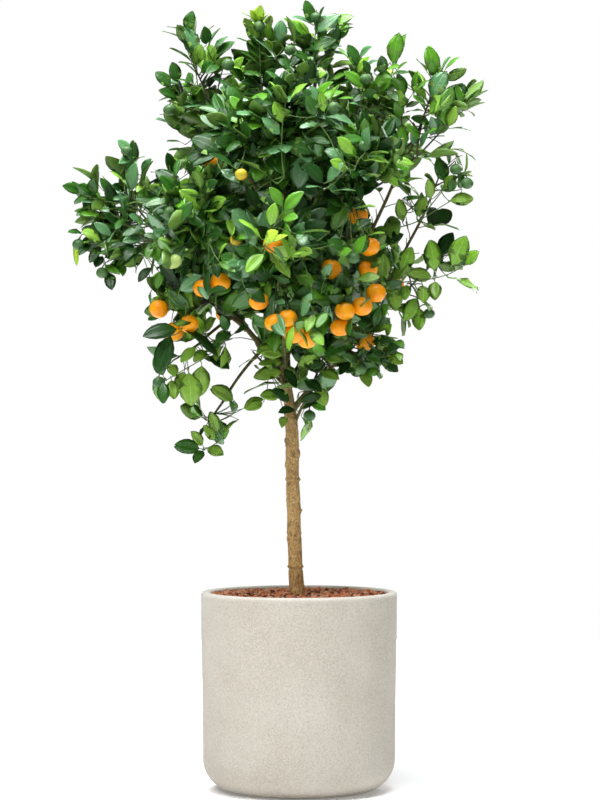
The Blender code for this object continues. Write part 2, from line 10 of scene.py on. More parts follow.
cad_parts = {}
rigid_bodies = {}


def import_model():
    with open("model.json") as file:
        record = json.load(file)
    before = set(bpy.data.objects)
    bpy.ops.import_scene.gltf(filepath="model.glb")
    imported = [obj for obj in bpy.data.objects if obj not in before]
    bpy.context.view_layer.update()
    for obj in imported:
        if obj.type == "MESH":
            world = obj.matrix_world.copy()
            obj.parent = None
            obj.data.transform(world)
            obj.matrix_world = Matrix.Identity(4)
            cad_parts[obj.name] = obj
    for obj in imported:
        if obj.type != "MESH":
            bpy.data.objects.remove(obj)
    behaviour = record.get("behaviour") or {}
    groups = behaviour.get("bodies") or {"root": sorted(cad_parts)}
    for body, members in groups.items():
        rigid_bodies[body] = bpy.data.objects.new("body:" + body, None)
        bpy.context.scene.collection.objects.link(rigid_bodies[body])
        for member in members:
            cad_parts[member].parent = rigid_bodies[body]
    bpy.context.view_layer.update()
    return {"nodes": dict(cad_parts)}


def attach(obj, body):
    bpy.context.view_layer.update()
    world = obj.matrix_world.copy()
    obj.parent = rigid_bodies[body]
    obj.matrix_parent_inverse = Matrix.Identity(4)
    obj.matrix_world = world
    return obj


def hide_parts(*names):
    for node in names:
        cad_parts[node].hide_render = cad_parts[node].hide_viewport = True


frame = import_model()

# Calamondin orange tree in a round pot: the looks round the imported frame.
# Metres, +Z up, -Y is the front.

scene = bpy.context.scene
up = Vector((0, 0, 1))
fullTurn = 2 * math.pi
goldenTurn = math.pi * (3 - math.sqrt(5))
noise.seed_set(3)


# meshes, paths and pieces

def newObject(name, data):
    made = bpy.data.objects.new(name, data)
    scene.collection.objects.link(made)
    return made


def meshFrom(work, name, smooth=True):
    mesh = bpy.data.meshes.new(name)
    work.to_mesh(mesh)
    work.free()
    if smooth:
        mesh.shade_smooth()
    return mesh


def finishPiece(piece, slotName, *nodes):
    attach(piece, "root")
    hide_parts(*nodes)
    piece.data.calc_loop_triangles()
    print(f"{piece.name}: {len(piece.data.loop_triangles)} triangles")


def metres(value):
    return tuple(metres(each) for each in value) if isinstance(value, tuple) else value / 1000


def between(table, share):
    for (low, first), (high, second) in zip(table, table[1:]):
        if share <= high:
            return first + (second - first) * (share - low) / (high - low)
    return table[-1][1]


def tapered(first, last, steps):
    return [first + (last - first) * i / steps for i in range(steps + 1)]


def bezier(start, bend, end, share):
    return start.lerp(bend, share).lerp(bend.lerp(end, share), share)


def curve(start, bend, end, steps, reach=1.0):
    return [bezier(start, bend, end, reach * i / steps) for i in range(steps + 1)]


def pathLength(points):
    return sum((b - a).length for a, b in zip(points, points[1:]))


def smoothed(points, rounds):
    for _ in range(rounds):
        inner = [points[i] * 0.5 + (points[i - 1] + points[i + 1]) * 0.25 for i in range(1, len(points) - 1)]
        points = [points[0]] + inner + [points[-1]]
    return points


# nodes of materials and geometry trees

def put(tree, socket, value):
    # a socket takes a link, a colour or a plain value
    if isinstance(value, bpy.types.NodeSocket):
        tree.links.new(value, socket)
    else:
        socket.default_value = (*value, 1) if socket.type == "RGBA" else value


def make(tree, kind, inputs=None, out=0, **settings):
    # a node with its settings and inputs; gives back one of its outputs
    made = tree.nodes.new(kind)
    for key, value in settings.items():
        setattr(made, key, value)
    for key, value in (inputs or {}).items():
        put(tree, made.inputs[key], value)
    return made.outputs[out]


def maths(tree, operation, *values, clamp=False):
    return make(tree, "ShaderNodeMath", dict(enumerate(values)), operation=operation, use_clamp=clamp)


def times(tree, first, second):
    return maths(tree, "MULTIPLY", first, second)


def timesPlus(tree, first, second, third, clamp=False):
    return maths(tree, "MULTIPLY_ADD", first, second, third, clamp=clamp)


def mixed(tree, share, first, second):
    return make(tree, "ShaderNodeMix", {0: share, 6: first, 7: second}, 2, data_type="RGBA")


def ramp(tree, value, *stops):
    made = make(tree, "ShaderNodeValToRGB", {0: value})
    for mark, (place, tone) in zip(made.node.color_ramp.elements, stops):
        mark.position, mark.color = place, (tone, tone, tone, 1)
    return made


def objectPlace(tree, scale=(1, 1, 1)):
    place = make(tree, "ShaderNodeTexCoord", out="Object")
    return make(tree, "ShaderNodeMapping", {"Vector": place, "Scale": scale})


def heightOf(tree, place):
    return make(tree, "ShaderNodeSeparateXYZ", {0: place}, "Z")


def noiseAt(tree, place, scale, detail=2.0, roughness=0.5):
    values = {"Vector": place, "Scale": scale, "Detail": detail, "Roughness": roughness}
    return make(tree, "ShaderNodeTexNoise", values, "Fac")


def spotsAt(tree, place, scale, near, far, feature="F1"):
    # round spots in the middles of random cells
    apart = make(tree, "ShaderNodeTexVoronoi", {"Vector": place, "Scale": scale}, "Distance", feature=feature)
    return ramp(tree, apart, (near, 1.0), (far, 0.0))


def shaded(tone, share, more=0.0):
    return tuple(min(1.0, channel * share + more) for channel in tone)


def newPaint(name, tone, roughness):
    made = bpy.data.materials.new(name)
    made.use_nodes = True
    tree = made.node_tree
    shader = tree.nodes["Principled BSDF"].inputs
    put(tree, shader["Base Color"], tone)
    shader["Roughness"].default_value = roughness
    return made, tree, shader


def dress(tree, shader, body, height, strength, distance):
    # the colour, and the relief as a bump
    put(tree, shader["Base Color"], body)
    bump = {"Height": height, "Strength": strength, "Distance": distance}
    put(tree, shader["Normal"], make(tree, "ShaderNodeBump", bump))


def newTree(name, **inputs):
    # a geometry tree with named inputs: socket type and default
    tree = bpy.data.node_groups.new(name, "GeometryNodeTree")
    inputs = {"Geometry": ("Geometry", None), **inputs, "Material": ("Material", None)}
    for label, (kind, default) in inputs.items():
        socket = tree.interface.new_socket(label, in_out="INPUT", socket_type="NodeSocket" + kind)
        if default is not None:
            socket.default_value = default
    tree.interface.new_socket("Geometry", in_out="OUTPUT", socket_type="NodeSocketGeometry")
    return tree, tree.nodes.new("NodeGroupInput").outputs


def endTree(tree, shape, material):
    shape = make(tree, "GeometryNodeRealizeInstances", {"Geometry": shape})
    shape = make(tree, "GeometryNodeSetMaterial", {"Geometry": shape, "Material": material})
    put(tree, tree.nodes.new("NodeGroupOutput").inputs["Geometry"], shape)
    return tree


def attributeOf(tree, name, kind):
    return make(tree, "GeometryNodeInputNamedAttribute", {"Name": name}, "Attribute", data_type=kind)


def shapesOf(tree, collection):
    values = {"Collection": collection, "Separate Children": True, "Reset Children": True}
    return make(tree, "GeometryNodeCollectionInfo", values)


def treePiece(obj, tree, name, **values):
    # the tree's result as a plain mesh at the origin; inputs are set before the first evaluation
    modifier = obj.modifiers.new(tree.name, "NODES")
    modifier.node_group = tree
    for item in tree.interface.items_tree:
        if item.item_type == "SOCKET" and item.in_out == "INPUT" and item.name in values:
            modifier[item.identifier] = values[item.name]
    bpy.context.view_layer.update()
    mesh = bpy.data.meshes.new_from_object(obj.evaluated_get(bpy.context.evaluated_depsgraph_get()))
    mesh.name = name
    bpy.data.objects.remove(obj)
    return newObject(name, mesh)


# camera, light and floor

studio = {
    "cameraPlace": (0.0017, -5.4, 0.7554),
    "lens": 125.3,
    "floorTone": (0.93, 0.93, 0.93),
    "floorGlow": 0.16,
    "floorReach": 3.4,
    "skyTone": (0.90, 0.96, 1.0),
    "skyStrength": 0.070,
    # place, aim, width and depth, power and tone of each soft light
    "keyLight": ((-2.0, -2.9, 4.0), (0, 0, 0.9), (1.5, 1.4), 112, (1, 1, 1)),
    "fillLight": ((2.8, -3.4, 1.6), (0, 0, 0.8), (2.0, 2.0), 16, (1, 1, 1)),
    "topLight": ((-0.3, -0.5, 4.2), (0, 0, 1.0), (2.8, 2.4), 340, (0.95, 0.98, 1.0)),
    "backLight": ((1.6, 3.2, 2.6), (0, 0, 1.0), (2.0, 1.6), 70, (1, 1, 1)),
}


def buildStudio():
    camera = bpy.data.cameras.new("camera")
    camera.sensor_fit = "VERTICAL"
    camera.sensor_height = 36
    camera.lens = studio["lens"]
    scene.camera = newObject("camera", camera)
    scene.camera.location = studio["cameraPlace"]
    scene.camera.rotation_euler = (math.radians(90), 0, 0)

    for name in ("keyLight", "fillLight", "topLight", "backLight"):
        place, aim, size, power, tone = studio[name]
        lamp = bpy.data.lights.new(name, "AREA")
        lamp.shape = "RECTANGLE"
        lamp.size, lamp.size_y = size
        lamp.energy, lamp.color = power, tone
        made = newObject(name, lamp)
        made.location = place
        made.rotation_euler = (Vector(aim) - Vector(place)).to_track_quat("-Z", "Y").to_euler()

    # white where it is seen, and dim where it only lights the plant
    world = bpy.data.worlds.new("studio")
    world.use_nodes = True
    tree = world.node_tree
    sky = make(tree, "ShaderNodeBackground", {"Color": studio["skyTone"], "Strength": studio["skyStrength"]})
    white = make(tree, "ShaderNodeBackground", {"Color": (1, 1, 1)})
    seen = make(tree, "ShaderNodeLightPath", out="Is Camera Ray")
    put(tree, tree.nodes["World Output"].inputs["Surface"],
        make(tree, "ShaderNodeMixShader", {0: seen, 1: sky, 2: white}))
    scene.world = world
    scene.view_settings.view_transform = "Standard"

    # a round floor, glowing towards its edge so that it runs into the white round it
    work = bmesh.new()
    bmesh.ops.create_circle(work, cap_ends=True, segments=72, radius=studio["floorReach"])
    floor = newObject("floor", meshFrom(work, "floor", False))
    paint, tree, shader = newPaint("floorPaint", studio["floorTone"], 0.9)
    shader["Emission Color"].default_value = (1, 1, 1, 1)
    place = make(tree, "ShaderNodeTexCoord", out="Object")
    away = make(tree, "ShaderNodeVectorMath", {0: place}, "Value", operation="LENGTH")
    share = maths(tree, "DIVIDE", away, studio["floorReach"])
    put(tree, shader["Emission Strength"], ramp(tree, share, (0.30, studio["floorGlow"]), (0.90, 1.0)))
    floor.data.materials.append(paint)
    print("studio ready")


# materials

leafLook = {
    "veinPairs": 7, "veinPale": 0.22, "midribPale": 0.34, "roughness": 0.25,
    "underside": (0.120, 0.240, 0.030), "youngUnderside": (0.24, 0.40, 0.05),
}


def leafPaint(name, tone, shine, under):
    # the left half of the leaf's own map is its upper side, the right half its underside
    made, tree, shader = newPaint(name, tone, leafLook["roughness"])
    split = make(tree, "ShaderNodeSeparateXYZ", {0: make(tree, "ShaderNodeUVMap", uv_map="OFBake")}).node.outputs
    isUnder = maths(tree, "GREATER_THAN", split["X"], 0.5)
    offset = maths(tree, "SUBTRACT", split["X"], timesPlus(tree, isUnder, 0.5, 0.25))
    across = times(tree, maths(tree, "ABSOLUTE", offset), 4.3)
    midrib = timesPlus(tree, across, -13.0, 1.0, clamp=True)
    # side veins slant from the midrib towards the tip
    slant = timesPlus(tree, across, -0.16, split["Y"])
    wave = maths(tree, "SINE", times(tree, slant, fullTurn * leafLook["veinPairs"]))
    vein = times(tree, timesPlus(tree, wave, 5.0, -4.1, clamp=True), maths(tree, "SUBTRACT", 1.0, across, clamp=True))
    cloud = noiseAt(tree, objectPlace(tree), 38.0)
    blade = mixed(tree, cloud, shaded(tone, 0.62), shaded(tone, 1.45, 0.004))
    blade = mixed(tree, times(tree, vein, leafLook["veinPale"]), blade, shaded(tone, 1.9, 0.03))
    blade = mixed(tree, times(tree, midrib, leafLook["midribPale"]), blade, shaded(tone, 2.6, 0.05))
    back = mixed(tree, cloud, shaded(under, 0.8), shaded(under, 1.15))
    back = mixed(tree, times(tree, midrib, 0.5), back, shaded(under, 1.6))
    put(tree, shader["Roughness"],
        timesPlus(tree, isUnder, 0.28, timesPlus(tree, cloud, 0.16, leafLook["roughness"])))
    shader["Specular IOR Level"].default_value = shine
    dress(tree, shader, mixed(tree, isUnder, blade, back), timesPlus(tree, vein, 0.6, midrib), 0.5, -0.0006)
    return made


barkLook = {
    "tan": (0.325, 0.194, 0.064),
    "ochre": (0.440, 0.280, 0.100),
    "brown": (0.120, 0.062, 0.024),
    "fleck": (0.62, 0.49, 0.30),
    "green": (0.13, 0.20, 0.045),
    # how dark and how green the boughs are against the trunk: partly their own darker, greener bark, partly painted
    # shade where the crown hides them
    "boughShade": 0.34, "boughGreen": 0.18,
}


def barkPaint(name, shade=1.0, green=0.0):
    made, tree, shader = newPaint(name, barkLook["tan"], 0.82)
    place, even = objectPlace(tree, (1, 1, 0.55)), objectPlace(tree)
    tan, ochre, brown, fleck = (
        tuple(c * shade * (1 - green) + l * green for c, l in zip(barkLook[key], barkLook["green"]))
        for key in ("tan", "ochre", "brown", "fleck"))
    streaks = noiseAt(tree, place, 330.0, 5.0, 0.72)
    body = mixed(tree, ramp(tree, noiseAt(tree, even, 28.0, 3.0, 0.6), (0.35, 0.0), (0.68, 1.0)), tan, ochre)
    # painted light: the trunk is painted paler towards the soil, to stand in for light on its foot; then brown
    # streaks and mottles
    body = mixed(tree, ramp(tree, heightOf(tree, even), (0.37, 0.85), (0.62, 0.0)), body, shaded(ochre, 1.6))
    body = mixed(tree, ramp(tree, streaks, (0.36, 0.85), (0.50, 0.0)), body, brown)
    mottles = noiseAt(tree, place, 115.0, 4.0, 0.7)
    body = mixed(tree, ramp(tree, mottles, (0.38, 0.75), (0.49, 0.0)), body, brown)
    body = mixed(tree, times(tree, spotsAt(tree, even, 150.0, 0.16, 0.26), 0.70), body, fleck)
    fine = noiseAt(tree, place, 420.0, 4.0, 0.7)
    dress(tree, shader, body, timesPlus(tree, fine, 0.5, streaks), 0.6, 0.0009)
    return made


def twigPaint(name, tone, roughness=0.55):
    made, tree, shader = newPaint(name, tone, roughness)
    place = objectPlace(tree)
    body = mixed(tree, noiseAt(tree, place, 60.0, 3.0), shaded(tone, 0.6), shaded(tone, 1.4))
    dress(tree, shader, body, noiseAt(tree, place, 700.0), 0.4, 0.0003)
    return made


def peelPaint(name, tone, second):
    # citrus peel: fine oil glands, and patches of a second tone
    made, tree, shader = newPaint(name, tone, 0.30)
    place = objectPlace(tree)
    body = mixed(tree, ramp(tree, noiseAt(tree, place, 42.0), (0.38, 0.0), (0.66, 1.0)), tone, second)
    pits = spotsAt(tree, place, 720.0, 0.10, 0.42)
    body = mixed(tree, times(tree, pits, 0.22), body, shaded(tone, 0.6))
    shader["Specular IOR Level"].default_value = 0.28
    dress(tree, shader, body, pits, 0.55, -0.0005)
    return made


potLook = {
    "cream": (0.486, 0.440, 0.373),
    "pale": (0.578, 0.540, 0.479),
    "warm": (0.408, 0.358, 0.288),
    # the pale tone of the painted light on the rim's top
    "paintedRimLight": (0.82, 0.78, 0.71),
}


def potPaint():
    made, tree, shader = newPaint("potStone", potLook["cream"], 0.80)
    place = objectPlace(tree)
    grain = noiseAt(tree, place, 330.0, 3.0, 0.6)
    mottle = ramp(tree, noiseAt(tree, place, 9.0, 3.0, 0.55), (0.32, 0.0), (0.70, 1.0))
    body = mixed(tree, 0.55, mixed(tree, mottle, potLook["warm"], potLook["pale"]), potLook["cream"])
    speck = spotsAt(tree, place, 250.0, 0.10, 0.50, "SMOOTH_F1")
    body = mixed(tree, times(tree, speck, 0.65), body, potLook["pale"])
    body = mixed(tree, times(tree, ramp(tree, grain, (0.36, 1.0), (0.52, 0.0)), 0.40), body,
                 shaded(potLook["warm"], 0.70))
    # painted light: the rim is painted paler towards its top, as light falls on it
    paintedRimLight = ramp(tree, heightOf(tree, place), (0.3775, 0.0), (0.3835, 0.75))
    body = mixed(tree, paintedRimLight, body, potLook["paintedRimLight"])
    dress(tree, shader, body, timesPlus(tree, grain, 0.6, speck), 0.55, 0.0009)
    return made


def chipPaint(name, tone):
    made, tree, shader = newPaint(name, tone, 0.85)
    place = objectPlace(tree)
    body = mixed(tree, noiseAt(tree, place, 260.0, 3.0, 0.6), shaded(tone, 0.45), shaded(tone, 1.6))
    patches = ramp(tree, noiseAt(tree, place, 95.0, 2.0, 0.6), (0.40, 0.55), (0.56, 0.0))
    body = mixed(tree, patches, body, shaded(tone, 0.28))
    dress(tree, shader, body, noiseAt(tree, place, 500.0, 3.0), 0.7, 0.0008)
    return made


# geometry trees

def tubeTree():
    # follows each line of edges with a round section, as thick as the line's own thickness
    tree, given = newTree("growTubes", Sides=("Int", 6), Relief=("Float", 0.0), ReliefScale=("Float", 60.0))
    line = make(tree, "GeometryNodeMeshToCurve", {"Mesh": given["Geometry"]})
    ring = make(tree, "GeometryNodeCurvePrimitiveCircle", {"Resolution": given["Sides"], "Radius": 1.0})
    tube = make(tree, "GeometryNodeCurveToMesh", {"Curve": line, "Profile Curve": ring, "Fill Caps": True,
                                                  "Scale": attributeOf(tree, "thickness", "FLOAT")})
    place = make(tree, "ShaderNodeVectorMath", {0: make(tree, "GeometryNodeInputPosition"), 1: (1, 1, 0.4)},
                 operation="MULTIPLY")
    bumps = make(tree, "ShaderNodeTexNoise", {"Vector": place, "Scale": given["ReliefScale"], "Detail": 3.0}, "Fac")
    amount = times(tree, maths(tree, "SUBTRACT", bumps, 0.5), given["Relief"])
    offset = make(tree, "ShaderNodeVectorMath", {0: make(tree, "GeometryNodeInputNormal"), "Scale": amount},
                  operation="SCALE")
    tube = make(tree, "GeometryNodeSetPosition", {"Geometry": tube, "Offset": offset})
    return endTree(tree, make(tree, "GeometryNodeSetShadeSmooth", {"Geometry": tube}), given["Material"])


def hangTree():
    # hangs one of a collection's shapes on each point, with the point's own turn, size and kind
    tree, given = newTree("hangShapes", Shapes=("Collection", None))
    turn = make(tree, "FunctionNodeEulerToRotation", {0: attributeOf(tree, "turn", "FLOAT_VECTOR")})
    hung = make(tree, "GeometryNodeInstanceOnPoints", {
        "Points": given["Geometry"], "Instance": shapesOf(tree, given["Shapes"]), "Pick Instance": True,
        "Instance Index": attributeOf(tree, "kind", "INT"), "Rotation": turn,
        "Scale": attributeOf(tree, "size", "FLOAT_VECTOR")})
    return endTree(tree, hung, given["Material"])


def strewTree():
    # strews shapes over a surface at random, from a fixed seed
    tree, given = newTree("strewChips", Shapes=("Collection", None), Density=("Float", 100.0),
                          Smallest=("Float", 0.6), Largest=("Float", 1.3), Seed=("Int", 3))
    points = make(tree, "GeometryNodeDistributePointsOnFaces",
                  {"Mesh": given["Geometry"], "Density": given["Density"], "Seed": given["Seed"]})
    turn = make(tree, "FunctionNodeRandomValue", {0: (-1.5, -1.3, 0), 1: (1.5, 1.3, fullTurn)},
                data_type="FLOAT_VECTOR")
    size = make(tree, "FunctionNodeRandomValue", {2: given["Smallest"], 3: given["Largest"]}, 1, data_type="FLOAT")
    kind = make(tree, "FunctionNodeRandomValue", {4: 0, 5: 3}, 2, data_type="INT")
    strewn = make(tree, "GeometryNodeInstanceOnPoints", {
        "Points": points, "Instance": shapesOf(tree, given["Shapes"]), "Pick Instance": True,
        "Instance Index": kind, "Rotation": make(tree, "FunctionNodeEulerToRotation", {0: turn}), "Scale": size})
    return endTree(tree, strewn, given["Material"])


def shapeCollection(name, meshes):
    made = bpy.data.collections.new(name)
    for i, mesh in enumerate(meshes):
        made.objects.link(bpy.data.objects.new(f"{name}{i}", mesh))
    return made


def dropCollection(made):
    for obj in list(made.objects):
        bpy.data.objects.remove(obj)
    bpy.data.collections.remove(made)


def addAttribute(mesh, name, kind, field, values):
    mesh.attributes.new(name, kind, "POINT").data.foreach_set(field, values)


def pointsObject(name, rows):
    # rows: (place, matrix 3x3, size vector, kind)
    mesh = bpy.data.meshes.new(name)
    mesh.from_pydata([row[0] for row in rows], [], [])
    addAttribute(mesh, "turn", "FLOAT_VECTOR", "vector", [c for row in rows for c in row[1].to_euler()])
    addAttribute(mesh, "size", "FLOAT_VECTOR", "vector", [c for row in rows for c in row[2]])
    addAttribute(mesh, "kind", "INT", "value", [row[3] for row in rows])
    return newObject(name, mesh)


def linesObject(name, lines):
    # lines: (points, radii)
    places, edges, thick = [], [], []
    for points, radii in lines:
        edges += [(i, i + 1) for i in range(len(places), len(places) + len(points) - 1)]
        places += points
        thick += radii
    mesh = bpy.data.meshes.new(name)
    mesh.from_pydata(places, edges, [])
    addAttribute(mesh, "thickness", "FLOAT", "value", thick)
    return newObject(name, mesh)


# the tree's skeleton, by the rule of the solids

trunkShape = {
    "footX": -0.003,
    "soilTop": 0.3613,
    "height": 0.468,
    "lean": ((0.0, 0.0), (0.15, 0.0050), (0.30, 0.0065), (0.53, 0.0085), (0.72, 0.0110), (0.81, 0.0145),
             (0.91, 0.0220), (1.0, 0.0310)),
    "taper": ((0.0, 0.0165), (0.04, 0.0150), (0.15, 0.0138), (0.53, 0.0130), (0.78, 0.0122), (0.85, 0.0105),
              (0.93, 0.0086), (1.0, 0.0078)),
    "rings": 24,
    "sides": 48,
    "ringStep": 0.0025,
}

boughShape = {
    "tipRadius": 0.0026,
    "footRadius": 0.0032,
    "growth": 0.42,
    # a bough ends where it comes this deep into its mass of leaves
    "entry": 0.72,
    "rings": 5,
    "sides": 14,
    "ringStep": 0.006,
}

twigShape = {
    "gap": 0.0003,
    "stemRadius": 0.0026,
    "stemTipRadius": 0.0016,
    "stemRings": 2,
    "stemBend": 0.04,
    "stemPastCentre": 0.30,
    "stemRise": 0.25,
    "shootRadius": 0.0017,
    "shootTipRadius": 0.0010,
    "shootFirst": 0.10,
    "shootLast": 0.96,
    "shootSlant": 0.55,
    "shootBend": 0.12,
    "shootSag": 0.07,
    "leafReach": 0.052,
    "leastReach": 0.02,
    "wideLeaf": 0.050,
    "almostEnd": 0.9999,
}

# parent and share: the limb a bough leaves and where. lift: how far it arches up.
# extra: further shoots that only the looks have. ends: where its outermost leaves end.
# gap: how far apart its leaves are, against the usual. side: side twigs for each shoot.
# spurs: from where its bough carries leafy spurs. light: how far its leaves lean to the lighter tints.
# few: a spray that stands free, with few shoots. Places are in millimetres.
def massOf(parent, share, lift, shoots, centre, half, extra, ends=(), gap=1.0, side=5, spurs=0.28, light=0.0,
           few=False):
    return {"parent": parent, "share": share, "lift": lift, "shoots": shoots, "centre": Vector(metres(centre)),
            "half": metres(half), "extra": extra, "ends": metres(ends), "gap": gap, "side": side,
            "spurs": spurs, "light": light, "few": few}


masses = {
    "top": massOf("trunk", 0.985, 0.02, 5, (35, -20, 1405), (95, 100, 105), 7, ends=((11, -20, 1516), (92, -10, 1495),
        (100, 10, 1500), (-12, -50, 1497), (50, -70, 1490), (106, -40, 1482))),
    "crest": massOf("top", 0.66, 0.04, 5, (-75, 30, 1400), (80, 90, 105), 8, ends=((-91, 20, 1514), (-66, -30, 1505),
        (-117, 0, 1470), (-40, 0, 1480), (-140, 20, 1430), (-100, -50, 1420), (-115, 70, 1400)), gap=1.1),
    "upper_left": massOf("top", 0.36, 0.1, 6, (-190, 0, 1345), (85, 110, 150), 7, ends=((-212, 0, 1508),
        (-262, 0, 1475), (-143, -20, 1467), (-170, -30, 1435), (-140, 40, 1400), (-248, 20, 1440), (-274, -20, 1393),
        (-270, 10, 1350), (-276, -30, 1298), (-252, 30, 1262)), gap=1.1, side=4),
    "upper_right": massOf("top", 0.52, 0.06, 5, (140, 40, 1340), (90, 100, 110), 8, ends=((182, 10, 1463),
        (147, -20, 1424), (85, 0, 1442), (172, 50, 1420))),
    "far_right": massOf("trunk", 0.89, -0.03, 6, (250, -30, 1310), (100, 90, 105), 4, ends=((364, -30, 1356),
        (258, -30, 1438), (310, -50, 1422), (229, 0, 1415), (310, -10, 1388), (360, 0, 1333), (333, -50, 1283)),
        gap=1.5, side=4, light=0.4),
    "front_upper": massOf("top", 0.42, 0.06, 6, (-50, -185, 1270), (135, 115, 130), 12, ends=((20, -280, 1330),
        (-90, -290, 1280))),
    "front_right": massOf("far_right", 0.42, 0.05, 6, (120, -150, 1190), (115, 120, 120), 12,
        ends=((190, -100, 1150),)),
    "back_upper_left": massOf("top", 0.3, 0.08, 6, (-135, 200, 1280), (140, 130, 140), 12),
    "back_upper_right": massOf("far_right", 0.34, 0.1, 6, (90, 200, 1270), (140, 130, 140), 12),
    "left": massOf("trunk", 0.93, 0.1, 6, (-315, -30, 1105), (125, 120, 125), 8, ends=((-347, -10, 1255),
        (-450, -30, 1166), (-430, -30, 1060), (-384, -40, 1190), (-431, 0, 1118), (-285, 0, 1220), (-405, -40, 1023),
        (-359, -20, 985), (-310, -50, 990)), gap=1.35, side=4, spurs=0.1),
    "left_front": massOf("left", 0.46, 0.08, 6, (-190, -150, 1115), (120, 120, 125), 12),
    "front": massOf("trunk", 0.88, 0.06, 6, (-45, -225, 1040), (120, 110, 125), 12),
    "right_low": massOf("trunk", 0.79, 0.1, 4, (255, 30, 1000), (105, 85, 85), 3, ends=((351, 20, 980),
        (318, 30, 1071), (338, 10, 1040), (260, 0, 1064), (229, 20, 900), (285, 30, 945)), gap=2.3, side=3, spurs=0.5,
        light=1.0, few=True),
    "front_low_right": massOf("right_low", 0.36, 0.08, 6, (80, -150, 970), (110, 115, 115), 12,
        ends=((184, -80, 926),)),
    "right": massOf("right_low", 0.52, -0.06, 4, (265, 10, 1160), (85, 70, 65), 2, ends=((339, 0, 1178),
        (277, 0, 1223), (337, 10, 1149), (200, 0, 1150)), gap=2.3, side=3, spurs=0.5, light=1.0, few=True),
    "low_right": massOf("right_low", 0.24, 0.04, 5, (120, -30, 860), (95, 95, 85), 7, ends=((196, -30, 814),
        (200, -20, 868), (134, -40, 782), (78, -60, 796)), gap=1.1, light=0.5),
    "low_left": massOf("left", 0.34, 0.12, 6, (-205, -60, 950), (105, 105, 85), 6, ends=((-293, -60, 922),), gap=1.15,
        light=0.4),
    "hanging_left": massOf("low_left", 0.72, 0.1, 4, (-225, -85, 825), (70, 60, 80), 0, ends=((-295, -90, 876),
        (-266, -80, 804), (-262, -100, 752), (-204, -90, 745)), gap=2.3, side=2, spurs=0.6, light=1.0, few=True),
    "hanging_low": massOf("left", 0.2, 0.16, 4, (-170, -20, 710), (70, 55, 55), 0, ends=((-163, -20, 641),
        (-242, -20, 672), (-200, -30, 642)), gap=3.6, side=1, spurs=0.95, light=1.0, few=True),
    "back": massOf("trunk", 0.83, 0.06, 6, (-30, 310, 1120), (140, 110, 150), 12),
    "back_low_left": massOf("back", 0.4, 0.08, 6, (-160, 190, 1010), (130, 130, 130), 12),
    "back_low_right": massOf("back", 0.3, 0.08, 6, (100, 190, 1020), (130, 130, 130), 12),
    "skirt_left": massOf("trunk", 0.9, 0.05, 4, (-80, 35, 825), (70, 70, 70), 5, ends=((-114, 0, 730), (-76, 30, 748),
        (-100, -60, 865), (-58, -70, 900), (-125, -50, 805), (-40, -60, 800)), gap=1.6, light=1.0),
    "skirt_right": massOf("trunk", 0.72, 0.05, 5, (45, -50, 815), (75, 70, 100), 5, ends=((17, -50, 705),
        (49, -40, 733), (-43, -40, 727)), gap=1.3, light=0.8),
}


class Limb:
    def __init__(self, points, radii):
        self.points = points
        self.radii = radii

    def stepAt(self, share):
        step = min(share, twigShape["almostEnd"]) * (len(self.points) - 1)
        return int(step), step - int(step)

    def at(self, share):
        first, part = self.stepAt(share)
        way = self.points[first + 1] - self.points[first]
        return self.points[first] + way * part, way.normalized()

    def radiusAt(self, share):
        first, part = self.stepAt(share)
        return self.radii[first] + (self.radii[first + 1] - self.radii[first]) * part


def trunkLimb():
    rings = trunkShape["rings"]
    points, radii = [], []
    for i in range(rings + 1):
        share = i / rings
        points.append(Vector((trunkShape["footX"] - between(trunkShape["lean"], share), 0,
                              trunkShape["soilTop"] + trunkShape["height"] * share)))
        radii.append(between(trunkShape["taper"], share))
    points[1].x = points[0].x
    return Limb(points, radii)


def insideHalf(mass, point, scale=1.0):
    away = point - mass["centre"]
    return sum((a / (h * scale)) ** 2 for a, h in zip(away, mass["half"])) <= 1


def carried(name):
    return 1 + sum(carried(child) for child, mass in masses.items() if mass["parent"] == name)


def extent(mass, way):
    return math.sqrt(sum((w * h) ** 2 for w, h in zip(way, mass["half"])))


def wallsOf(name):
    # between a mass and each other one: a place and the way towards the other
    mass = masses[name]
    found = []
    for other in masses.values():
        if other is not mass:
            way = other["centre"] - mass["centre"]
            apart = way.length
            way.normalize()
            share = extent(mass, way) / (extent(mass, way) + extent(other, way))
            found.append((mass["centre"] + way * apart * share, way))
    return found


def inSpace(name, point, margin):
    return all((point - place).dot(way) < -margin for place, way in walls[name])


def boughLimb(name, mass, parent):
    start, _ = parent.at(mass["share"])
    centre = mass["centre"]
    bend = start.lerp(centre, 0.5) + up * mass["lift"] * (centre - start).length
    entry = 1.0
    while entry > 0.3 and insideHalf(mass, bezier(start, bend, centre, entry), boughShape["entry"]):
        entry -= 0.02
    while entry > 0.1 and not inSpace(name, bezier(start, bend, centre, entry), 2 * twigShape["stemRadius"]):
        entry += 0.01
    rings = boughShape["rings"]
    foot = boughShape["footRadius"] * carried(name) ** boughShape["growth"]
    return Limb(curve(start, bend, centre, rings, entry), tapered(foot, boughShape["tipRadius"], rings))


def stemOf(name, bough):
    mass = masses[name]
    tip = bough.points[-1]
    way = (tip - bough.points[-2]).normalized()
    start = tip + way * twigShape["gap"] * 1.5
    centre = mass["centre"]
    end = centre + (centre - start) * twigShape["stemPastCentre"] + up * mass["half"][2] * twigShape["stemRise"]
    rings = twigShape["stemRings"]
    points = [start.lerp(end, i / rings) for i in range(rings + 1)]
    points[1] += way * (end - start).length * twigShape["stemBend"]
    return Limb(points, tapered(twigShape["stemRadius"], twigShape["stemTipRadius"], rings))


def evenWays(count, turn):
    ways = []
    for i in range(count):
        height = 1 - 2 * (i + 0.5) / count
        flat = math.sqrt(1 - height * height)
        angle = turn + i * goldenTurn
        ways.append(Vector((flat * math.cos(angle), flat * math.sin(angle), height)))
    return ways


